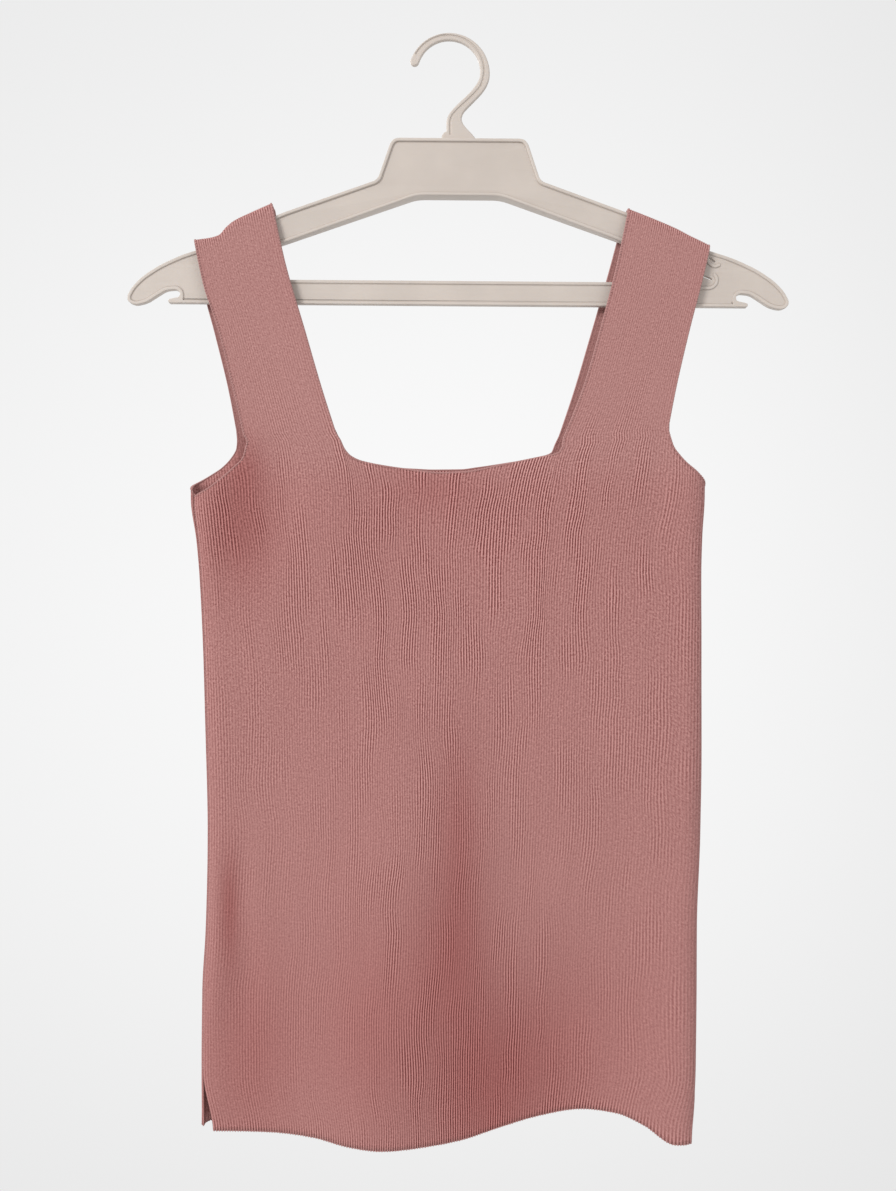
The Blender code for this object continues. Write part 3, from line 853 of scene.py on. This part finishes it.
def stitch_tree(name):
    """Node group: one bent yarn at each point of a line, by the line's own directions."""
    tree = bpy.data.node_groups.new(name, "GeometryNodeTree")
    kinds = {"Line": "Geometry", **dict.fromkeys(STITCH_SIZES, "Float")}
    kinds.update({"Seed": "Int", "Yarn Material": "Material"})
    for label, kind in kinds.items():
        socket = "NodeSocket" + kind
        tree.interface.new_socket(label, in_out="INPUT", socket_type=socket)
    tree.interface.new_socket("Row", in_out="OUTPUT", socket_type="NodeSocketGeometry")
    row = Nodes(tree)
    sizes = row.node("NodeGroupInput").outputs

    half, slant = row.times(sizes["Length"], 0.5), sizes["Slant"]
    ends = {
        "Resolution": 5,
        "Start": row.vector(row.times(half, -1.0), row.times(slant, -1.0), 0.0),
        "Middle": row.vector(0.0, 0.0, row.times(sizes["Rise"], 2.0)),
        "End": row.vector(half, slant, 0.0),
    }
    yarn = row.node("GeometryNodeCurveQuadraticBezier", ends)
    round_ = {"Resolution": 6, "Radius": sizes["Yarn Radius"]}
    ring = row.node("GeometryNodeCurvePrimitiveCircle", round_)
    both = {"Curve": yarn.outputs[0], "Profile Curve": ring.outputs[0], "Fill Caps": True}
    strand = row.node("GeometryNodeCurveToMesh", both)

    line = row.node("GeometryNodeMeshToCurve", {"Mesh": sizes["Line"]})
    spacing = {"Curve": line.outputs[0], "Length": sizes["Pitch"]}
    spaced = row.node("GeometryNodeResampleCurve", spacing, mode="LENGTH")
    ways = {}
    kind = "GeometryNodeInputNamedAttribute"
    for axis, label in (("Primary Axis", "stitch_up"), ("Secondary Axis", "stitch_across")):
        way = row.node(kind, {"Name": label}, data_type="FLOAT_VECTOR")
        ways[axis] = way.outputs["Attribute"]
    kind = "FunctionNodeAxesToRotation"
    turn = row.node(kind, ways, primary_axis="Z", secondary_axis="X")
    limits = {
        2: row.math("SUBTRACT", 1.0, sizes["Size Spread"]),
        3: row.math("ADD", 1.0, sizes["Size Spread"]),
        "Seed": sizes["Seed"],
    }
    spread = row.node("FunctionNodeRandomValue", limits, data_type="FLOAT")
    copies = {
        "Points": spaced.outputs[0],
        "Instance": strand.outputs[0],
        "Rotation": turn.outputs[0],
        "Scale": spread.outputs[1],
    }
    made = row.node("GeometryNodeInstanceOnPoints", copies)
    made = row.node("GeometryNodeRealizeInstances", {0: made.outputs[0]})
    made = row.node("GeometryNodeSetShadeSmooth", {0: made.outputs[0]})
    dressed = {"Geometry": made.outputs[0], "Material": sizes["Yarn Material"]}
    made = row.node("GeometryNodeSetMaterial", dressed)
    row.node("NodeGroupOutput", {0: made.outputs[0]})
    return tree


def stitch_rows(name, rows, tree, material, sizes):
    """Plain mesh of stitches of these STITCH_SIZES on lines of (points, up, across)."""
    points = np.concatenate([row[0] for row in rows])
    mesh = bpy.data.meshes.new(name)
    edges, first = [], 0
    for row in rows:
        edges += [(first + k, first + k + 1) for k in range(len(row[0]) - 1)]
        first += len(row[0])
    mesh.from_pydata((points * MM).tolist(), edges, [])
    for label, column in (("stitch_up", 1), ("stitch_across", 2)):
        attribute = mesh.attributes.new(label, "FLOAT_VECTOR", "POINT")
        values = np.concatenate([row[column] for row in rows])
        attribute.data.foreach_set("vector", values.astype(np.float32).ravel())
    line = in_scene(name + "_line", mesh)
    modifier = line.modifiers.new("stitches", "NODES")
    modifier.node_group = tree
    sockets = [item for item in tree.interface.items_tree if item.in_out == "INPUT"]
    inputs = {item.name: item.identifier for item in sockets}
    modifier[inputs["Yarn Material"]] = material
    for label, value in zip(STITCH_SIZES, sizes):
        plain = label in ("Seed", "Size Spread")
        modifier[inputs[label]] = value if plain else value * MM
    graph = bpy.context.evaluated_depsgraph_get()
    made = bpy.data.meshes.new_from_object(line.evaluated_get(graph), depsgraph=graph)
    bpy.data.objects.remove(line)
    made.name = name
    return in_scene(name, made)


def turned_edges(panel, tree, material, yarn):
    """The neck's and armholes' turned edges, and the linking stitches on them."""
    points, faces, rows = [], [], []
    middle = (RELIEF[0] - WALL) / 2
    for path, out in edge_lines(panel):
        path, out = resampled(path, out, EDGE_PITCH)
        _, into = into_cloth(path, out, panel["face"])
        centre = path + into * EDGE_IN + out * middle
        swept(centre, out, into, *EDGE_HALVES, points, faces)
        on_top = centre + out * (EDGE_HALVES[1] - 0.15) + into * 0.1
        rows.append((on_top, out, into))
    edge = mesh_object(panel["name"] + "_turned_edges", points, faces, material)
    face_outwards(edge)
    name = panel["name"] + "_edge_stitches"
    return edge, stitch_rows(name, rows, tree, yarn, EDGE_STITCHES)


def hem_loops(panel, tree, yarn):
    """The knit's starting edge: a small loop round the foot of each rib."""
    points, out = (grid[:, 0] for grid in panel["lines"]["body"])
    crest = slice(POINTS_PER_RIB // 2, None, POINTS_PER_RIB)
    path, out = points[crest], out[crest]
    tangent, _ = into_cloth(path, out, panel["face"])
    down = np.cross(out, tangent) * (-panel["face"])
    down[down[:, 2] > 0] *= -1
    centre = path + out * ((RELIEF[1] - WALL) / 2) - down * 0.25
    step = float(np.linalg.norm(np.diff(centre, axis=0), axis=1).mean())
    name = panel["name"] + "_hem_loops"
    return stitch_rows(name, [(centre, down, out)], tree, yarn, (step, *HEM_LOOPS))


def seams(tree, material, yarn):
    """Side seams from the slits to the armholes, and the seams over the arms."""
    rows, lines, points, faces = [], [], [], []
    heights = np.linspace(HEM_LEVEL + SLIT_RISE + 1.0, SEAM_TOP, 200)
    for k in (0, -1):
        pair = []
        for panel in (FRONT, BACK):
            line, out = (grid[k] for grid in panel["lines"]["body"])
            pair.append([read_at(heights, line[:, 2], v) for v in (line, out)])
        rows.append(pair)
    for side in ("left", "right"):
        pair = []
        for panel in (FRONT, BACK):
            ends = [grid[:, -1] for grid in panel["lines"][side]]
            place = np.linspace(0, 1, len(ends[0]))
            pair.append([read_at(np.linspace(0, 1, 60), place, v) for v in ends])
        rows.append(pair)
    for (front, front_out), (back, back_out) in rows:
        middle, out = (front + back) / 2, unit(front_out + back_out)
        path, out = resampled(middle, out, SEAM_PITCH)
        _, across = into_cloth(path, out, -1)
        inside = path - out * ALLOWANCE_IN
        swept(inside, out, across, *ALLOWANCE_HALVES, points, faces)
        lines.append((path + out * 0.1, out, across))
    stitches = stitch_rows("seam_stitches", lines, tree, yarn, SEAM_STITCHES)
    allowances = mesh_object("seam_allowances", points, faces, material)
    face_outwards(allowances)
    return allowances, stitches


def face_outwards(obj):
    shape = bmesh.new()
    shape.from_mesh(obj.data)
    bmesh.ops.recalc_face_normals(shape, faces=shape.faces)
    shape.to_mesh(obj.data)
    shape.free()


# ======== the hanger ========


def ordered_loops(edges):
    """Closed loops of (x, z) from directed boundary edges."""
    following = {start: end for start, end in edges}
    loops = []
    while following:
        start = min(following)
        loop, here = [], start
        while True:
            loop.append(here)
            here = following.pop(here)
            if here == start:
                break
        loops.append(loop)
    return loops


def area_of(loop):
    following = loop[1:] + loop[:1]
    return 0.5 * sum(a[0] * b[1] - b[0] * a[1] for a, b in zip(loop, following))


def with_neighbours(loop):
    return zip(loop[-1:] + loop[:-1], loop, loop[1:] + loop[:1])


def thinned(node, height):
    """Share of the moulding's full depth at a height."""
    return float(along(THINNING, height)) if node.name == "hanger_frame" else 1.0


def front_regions(node):
    """Level regions on a moulding's front: full half depth in mm, and their loops."""
    shape = bmesh.new()
    shape.from_mesh(node.data)
    bmesh.ops.remove_doubles(shape, verts=shape.verts, dist=1e-6)
    level = {v: round(-v.co.y / MM / thinned(node, v.co.z / MM), 1) for v in shape.verts}
    flat = set()
    for f in shape.faces:
        found = {level[v] for v in f.verts}
        if len(found) == 1 and found.pop() > 0:
            flat.add(f)
    regions = []
    while flat:
        start = min(flat, key=lambda f: f.index)
        grown, wave_front = {start}, [start]
        while wave_front:
            here = wave_front.pop()
            for edge in here.edges:
                for other in edge.link_faces:
                    if other in flat and other not in grown:
                        grown.add(other)
                        wave_front.append(other)
        flat -= grown
        border = []
        for f in grown:
            for loop in f.loops:
                if not any(o in grown and o is not f for o in loop.edge.link_faces):
                    ends = (loop.vert.co, loop.link_loop_next.vert.co)
                    border.append([(round(p.x / MM, 3), round(p.z / MM, 3)) for p in ends])
        loops = sorted(ordered_loops(border), key=lambda p: -abs(area_of(p)))
        regions.append((level[start.verts[0]], loops))
    shape.free()
    return regions


def rounded(loop):
    """The loop with each corner turned into a short curve."""
    # points that lie on a straight run are left out first
    corners = []
    for before, here, after in with_neighbours([Vector(p) for p in loop]):
        a, b = here - before, after - here
        if abs(a.normalized().cross(b.normalized())) > STRAIGHT:
            corners.append(here)
    made = []
    for before, here, after in with_neighbours(corners):
        a, b = before - here, after - here
        take = min(CORNER, a.length / 2, b.length / 2)
        start, end = here + a.normalized() * take, here + b.normalized() * take
        for k in range(CORNER_STEPS + 1):
            t = k / CORNER_STEPS
            made.append(start * (1 - t) ** 2 + here * 2 * t * (1 - t) + end * t * t)
    return [p for p, q in zip(made, made[1:] + made[:1]) if (p - q).length > NEAR]


def inset(loop, distance):
    """The loop moved to its own left, which is into the region that it bounds."""
    moved = []
    distances = np.broadcast_to(distance, len(loop))
    for (before, here, after), far in zip(with_neighbours(loop), distances):
        a, b = (here - before).normalized(), (after - here).normalized()
        left = Vector((-a.y - b.y, a.x + b.x)).normalized()
        stretch = 1 / max(0.6, -a.y * left.x + a.x * left.y)
        moved.append(here + left * float(far * stretch))
    return moved


def gaps(points, line):
    """Distance from each point to each straight piece of a closed line."""
    following = np.roll(line, -1, axis=0) - line
    share = ((points[:, None] - line) * following).sum(-1) / (following**2).sum(-1)
    nearest = line + following * np.clip(share, 0, 1)[..., None]
    return np.linalg.norm(points[:, None] - nearest, axis=-1)


def soft_foot(curve, others, width):
    """The curve moved out over the level below, less where that level is narrow."""
    own = np.array([tuple(p) for p in curve])
    room = np.full(len(own), width)
    for other in others:
        other = np.array([tuple(p) for p in other])
        room = np.minimum(room, FOOT_ROOM * gaps(own, other).min(axis=1))
        facing = FOOT_ROOM * gaps(other, own).min(axis=0)
        room = np.minimum(room, np.minimum(facing, np.roll(facing, 1)))
    return inset(curve, -room)


def moulding(name, node, material):
    """The moulding again with round corners and soft edges."""
    regions = sorted(front_regions(node), key=lambda region: -region[0])
    # an outline between two levels is in both of their regions
    depths, curves, beside = {}, {}, {}
    for half, outlines in regions:
        for outline in outlines:
            key = frozenset(outline)
            depths.setdefault(key, []).append(half)
            curves.setdefault(key, rounded(outline))
    for key, curve in curves.items():
        if len(depths[key]) == 1:
            curves[key] = inset(curve, -FULLER[node.name])
    for half, outlines in regions:
        keys = [frozenset(outline) for outline in outlines]
        for key in keys:
            if half == min(depths[key]):
                beside[key] = [curves[other] for other in keys if other != key]
    points, faces, caps = [], [], []

    def ring(curve, y):
        first = len(points)
        points.extend((p.x, y * thinned(node, p.y), p.y) for p in curve)
        return list(range(first, first + len(curve)))

    def wall(a, b):
        for k in range(len(a)):
            faces.append((a[k - 1], a[k], b[k], b[k - 1]))

    def soft_edge(curve, half, edge):
        """Rings round the edge, front and back, and the outline that they leave."""
        rows = []
        for k in range(EDGE_TURNS + 1):
            turn = k * math.pi / 2 / EDGE_TURNS
            aside, under = edge * (1 - math.cos(turn)), edge * (1 - math.sin(turn))
            rows.append((inset(curve, aside) if aside else curve, half - under))
        sides = {}
        for side in (-1, 1):
            sides[side] = [ring(moved, side * y) for moved, y in rows]
            for low, high in zip(sides[side], sides[side][1:]):
                wall(low, high)
        return sides, rows[-1][0]

    feet, skirts = {}, {}
    for half, outlines in regions:
        rings, tops = [], []
        for outline in outlines:
            key = frozenset(outline)
            if key in feet:
                rings.append(skirts[key][::-1])
                tops.append([feet[key][side][::-1] for side in (-1, 1)])
                continue
            curve, foot, edge = curves[key], min(depths[key]), SOFT_EDGE[node.name]
            if foot < half:
                edge = min(edge, 0.85 * (half - foot))
            sides, inner = soft_edge(curve, half, edge)
            if foot < half:
                feet[key] = {}
                skirts[key] = soft_foot(curve, beside[key], SOFT_FOOT[node.name])
                for side in (-1, 1):
                    corner = ring(curve, side * foot)
                    feet[key][side] = ring(skirts[key], side * foot)
                    wall(feet[key][side], corner)
                    wall(corner, sides[side][0])
            else:
                wall(sides[-1][0], sides[1][0])
            rings.append(inner)
            tops.append([sides[side][-1] for side in (-1, 1)])
        front, back = ([n for top in tops for n in top[k]] for k in (0, 1))
        for triangle in tessellate_polygon([[p.to_3d() for p in curve] for curve in rings]):
            caps.append(tuple(front[i] for i in triangle))
            caps.append(tuple(back[i] for i in triangle))
    obj = mesh_object(name, points, faces + caps, material)
    smooth = [True] * len(faces) + [False] * len(caps)
    obj.data.polygons.foreach_set("use_smooth", smooth)
    face_outwards(obj)
    return obj


# ======== finishes ========


class Finish(Nodes):
    """A material, made from its shader's own settings and the nodes added to it."""

    def __init__(self, name, settings):
        self.material = bpy.data.materials.new(name)
        self.material.use_nodes = True
        super().__init__(self.material.node_tree)
        self.shader = self.tree.nodes["Principled BSDF"]
        self.set(settings)

    def set(self, settings):
        for label, value in settings.items():
            self.link(value, self.shader.inputs[label])

    def place(self):
        return self.node("ShaderNodeTexCoord").outputs["Object"]

    def ramp(self, value, low, high, out_low=0.0, out_high=1.0):
        labels = ("Value", "From Min", "From Max", "To Min", "To Max")
        given = zip(labels, (value, low, high, out_low, out_high))
        kind = "ShaderNodeMapRange"
        return self.node(kind, given, interpolation_type="SMOOTHSTEP").outputs[0]

    def mix(self, share, a, b, blend="MIX"):
        given = {0: share, 6: a, 7: b}
        made = self.node("ShaderNodeMix", given, data_type="RGBA", blend_type=blend)
        return made.outputs[2]

    def attribute(self, name):
        return self.node("ShaderNodeAttribute", attribute_name=name).outputs["Fac"]

    def noise(self, where, scale, detail=2.0, roughness=0.5):
        labels = ("Vector", "Scale", "Detail", "Roughness")
        given = zip(labels, (where, scale, detail, roughness))
        return self.node("ShaderNodeTexNoise", given).outputs["Fac"]

    def scaled(self, where, *scale):
        given = {0: where, 1: scale}
        return self.node("ShaderNodeVectorMath", given, operation="MULTIPLY").outputs[0]

    def bump(self, height, distance, strength, under=None):
        """Raised by this height, in millimetres, over what is raised already."""
        given = {"Height": height, "Distance": distance * MM, "Strength": strength}
        if under is not None:
            given["Normal"] = under
        return self.node("ShaderNodeBump", given).outputs[0]


def knit_finish(name):
    """Rose rib knit: pale and flecked where it is closed; where it is open, painted
    highlight on the crests and painted shade in the dark red valleys.
    """
    cloth = Finish(
        name,
        {
            "Roughness": 0.8,
            "Sheen Weight": 0.14,
            "Sheen Roughness": 0.45,
            "Sheen Tint": (1.0, 0.76, 0.72),
            "Specular IOR Level": 0.15,
        },
    )
    place = cloth.node("ShaderNodeUVMap", uv_map="knit").outputs[0]
    rib, row, _ = cloth.node("ShaderNodeSeparateXYZ", {0: place}).outputs
    # 0 on a rib's crest, 1 in the valley beside it
    within = cloth.math("FRACT", rib)
    off_crest = cloth.math("ABSOLUTE", cloth.times(within, 2.0, -1.0))
    valley = cloth.ramp(off_crest, 0.3, 0.95)
    crest = cloth.ramp(off_crest, 0.15, 0.6, 1.0, 0.0)
    groove = cloth.ramp(off_crest, 0.0, 0.3, 1.0, 0.0)
    # the two legs of each loop slant up and away from the middle of the rib, and
    # each rib's loops start at a height of their own
    own = cloth.vector(cloth.times(cloth.math("FLOOR", rib), 1.73), cloth.times(row, 0.05))
    drift = cloth.noise(own, 1.0, 2.0, 0.6)
    leg = cloth.times(drift, 9.0, cloth.times(off_crest, 0.42, row))
    loop = cloth.math("SINE", cloth.times(leg, 2 * math.pi))
    opening = cloth.attribute("rib_opening")
    dye_and_shade = cloth.attribute("dye_and_shade_depth")
    # along a few ribs, and stitch by stitch
    streak = cloth.noise(cloth.scaled(place, 0.33, 0.012, 1.0), 1.0, 3.0, 0.6)
    fleck = cloth.noise(cloth.scaled(place, 1.4, 1.0, 1.0), 1.0, 2.0, 0.8)
    # more flecks up the body, fewer on the shoulders, counted in rows from the hem
    upper = cloth.ramp(row, 90.0, 240.0, 0.7, 1.1)
    speck = cloth.times(upper, cloth.ramp(row, 315.0, 345.0, 1.0, 0.75))
    where = cloth.place()
    patch = cloth.noise(where, 14.0, 2.0, 0.5)
    fuzz = cloth.noise(where, 1600.0, 2.0, 0.7)

    tone = ROSE
    # painted highlight on the open ribs' crests and painted shade in their valleys; then
    # streaks, patches and flecks of random tone
    for share, much, colour in (
        (crest, opening, ROSE_CREST_HIGHLIGHT),
        (valley, cloth.times(opening, 0.92, 0.03), ROSE_VALLEY_SHADE_AND_FLECK),
        (cloth.ramp(streak, 0.42, 0.72), 0.05, ROSE_RIDGE),
        (cloth.ramp(patch, 0.45, 0.75), 0.05, ROSE_RIDGE),
        (cloth.ramp(fleck, 0.5, 0.72, 0.0, 0.55), speck, ROSE_VALLEY_SHADE_AND_FLECK),
        (cloth.ramp(fleck, 0.28, 0.5, 0.75, 0.0), speck, ROSE_RIDGE),
    ):
        tone = cloth.mix(cloth.times(share, much), tone, colour)
    # painted shade, with some deeper dyeing: the colour is multiplied darker and redder
    # where the attribute says so
    tone = cloth.mix(dye_and_shade, tone, DEEPEST_DYE_AND_SHADE, "MULTIPLY")

    height = cloth.times(groove, -0.12, cloth.times(valley, -1.0))
    height = cloth.times(loop, 0.12, height)
    height = cloth.times(height, cloth.times(opening, 0.8, 0.2))
    raised = cloth.bump(fuzz, 0.16, 0.6, cloth.bump(height, 0.24, 0.8))
    cloth.set({"Base Color": tone, "Normal": raised})
    return cloth.material


def yarn_finish(name):
    """The same yarn where it is sewn: fine twist and fuzz."""
    yarn = Finish(
        name,
        {
            "Roughness": 0.74,
            "Sheen Weight": 0.25,
            "Sheen Roughness": 0.45,
            "Sheen Tint": (1.0, 0.86, 0.83),
            "Specular IOR Level": 0.25,
        },
    )
    where = yarn.place()
    twisted = {"Vector": where, "Scale": 520.0, "Distortion": 1.5}
    twist = yarn.node("ShaderNodeTexWave", twisted, bands_direction="DIAGONAL")
    twist = twist.outputs["Fac"]
    fuzz = yarn.noise(where, 2200.0, 2.0, 0.7)
    patch = yarn.noise(where, 60.0, 2.0, 0.5)
    tone = yarn.mix(yarn.times(twist, 0.3), ROSE_PALE, ROSE)
    tone = yarn.mix(yarn.times(patch, 0.25), tone, ROSE)
    raised = yarn.bump(fuzz, 0.08, 0.5, yarn.bump(twist, 0.08, 0.6))
    yarn.set({"Base Color": tone, "Normal": raised})
    return yarn.material


def plastic_finish(name):
    """Warm beige moulded plastic: fine grain, faint marks, lighter sharp edges and painted
    shade in the concave feet of its steps.
    """
    glow = {"Subsurface Weight": 0.06, "Subsurface Radius": (0.002, 0.0015, 0.001)}
    shell = Finish(name, glow)
    where = shell.place()
    patch = shell.noise(where, 26.0, 3.0, 0.55)
    grain = shell.noise(where, 900.0, 2.0, 0.6)
    scuff = shell.noise(shell.scaled(where, 30.0, 30.0, 260.0), 1.0, 4.0, 0.7)
    edge = shell.node("ShaderNodeNewGeometry").outputs["Pointiness"]
    tone = shell.mix(shell.ramp(patch, 0.3, 0.7), BEIGE, BEIGE_LIGHTER)
    for share, much, colour in (
        (shell.ramp(scuff, 0.56, 0.8), 0.5, BEIGE_DULL),
        # lighter on sharp convex edges
        (shell.ramp(edge, 0.51, 0.6), 0.35, BEIGE_LIGHTER),
        # painted shade: brown in the concave feet of the steps
        (shell.ramp(edge, 0.42, 0.498, 1.0, 0.0), 0.55, FOOT_SHADE_BROWN),
    ):
        tone = shell.mix(shell.times(share, much), tone, colour)
    raised = shell.bump(scuff, 0.03, 0.3, shell.bump(grain, 0.015, 0.4))
    rough = shell.ramp(scuff, 0.3, 0.8, 0.42, 0.56)
    shell.set({"Base Color": tone, "Roughness": rough, "Normal": raised})
    return shell.material


# ======== studio ========


def camera():
    data = bpy.data.cameras.new("photo_view")
    data.sensor_width = SENSOR
    data.lens = SENSOR / 2 * -CAMERA_AT[1] / HALF_VIEW
    data.clip_start, data.clip_end = 0.01, 20.0
    obj = in_scene("photo_view", data)
    obj.location = [c * MM for c in CAMERA_AT]
    obj.rotation_euler = (math.pi / 2, 0, 0)
    bpy.context.scene.camera = obj


def lamp(name, at, size, power, colour):
    data = bpy.data.lights.new(name, "AREA")
    data.shape = "DISK"
    data.size = size
    data.energy = power
    data.color = colour
    obj = in_scene(name, data)
    obj.location = at
    obj.visible_camera = False
    aim = Vector(LAMPS_AIM) - Vector(at)
    obj.rotation_euler = aim.to_track_quat("-Z", "Y").to_euler()


def studio():
    """Soft white surroundings, three lamps and a pale floor."""
    scene = bpy.context.scene
    scene.view_settings.view_transform = "Standard"
    scene.world = bpy.data.worlds.new("studio")
    scene.world.use_nodes = True
    room = Nodes(scene.world.node_tree)
    background = room.tree.nodes["Background"]
    where = room.node("ShaderNodeTexCoord").outputs["Generated"]
    ways = room.node("ShaderNodeSeparateXYZ", {0: where}).outputs
    level = ROOM_LEVEL
    for axis, more in ROOM_CUBED:
        cubed = room.times(room.times(ways[axis], ways[axis]), ways[axis])
        level = room.times(cubed, more, level)
    room.link(ROOM_WHITE, background.inputs["Color"])
    room.link(level, background.inputs["Strength"])
    for row in LAMPS:
        lamp(*row)

    paper = Finish("pale_floor", {"Roughness": 0.9})
    grain = paper.noise(paper.place(), 3.0)
    paper.set({"Base Color": paper.mix(grain, PAPER_DARK, PAPER_LIGHT)})
    shape = bmesh.new()
    bmesh.ops.create_circle(shape, cap_ends=True, segments=96, radius=FLOOR_RADIUS)
    mesh = bpy.data.meshes.new("floor")
    shape.to_mesh(mesh)
    shape.free()
    mesh.materials.append(paper.material)
    floor = in_scene("floor", mesh)
    floor.location = (0, 0, FLOOR_HEIGHT)


# ======== the whole ========


def main():
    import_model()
    studio()
    camera()

    knit = knit_finish("rose_rib_knit")
    edging = yarn_finish("rose_turned_edge")
    yarn = yarn_finish("rose_linking_yarn")
    plastic = plastic_finish("hanger_shell")
    tree = stitch_tree("stitch_row")

    sewn = []
    for panel in (FRONT, BACK):
        cloth = knit_panel(panel, knit)
        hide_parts(panel["name"] + "_panel")
        edge, edge_stitches = turned_edges(panel, tree, edging, yarn)
        sewn.append([cloth, edge, edge_stitches, hem_loops(panel, tree, yarn)])
    for piece in (*sewn[0], *sewn[1], *seams(tree, edging, yarn)):
        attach(piece, "root")

    for node in ("hanger_frame", "hanger_hook"):
        piece = moulding(node + "_moulding", bpy.data.objects[node], plastic)
        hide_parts(node)
        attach(piece, "root")


main()
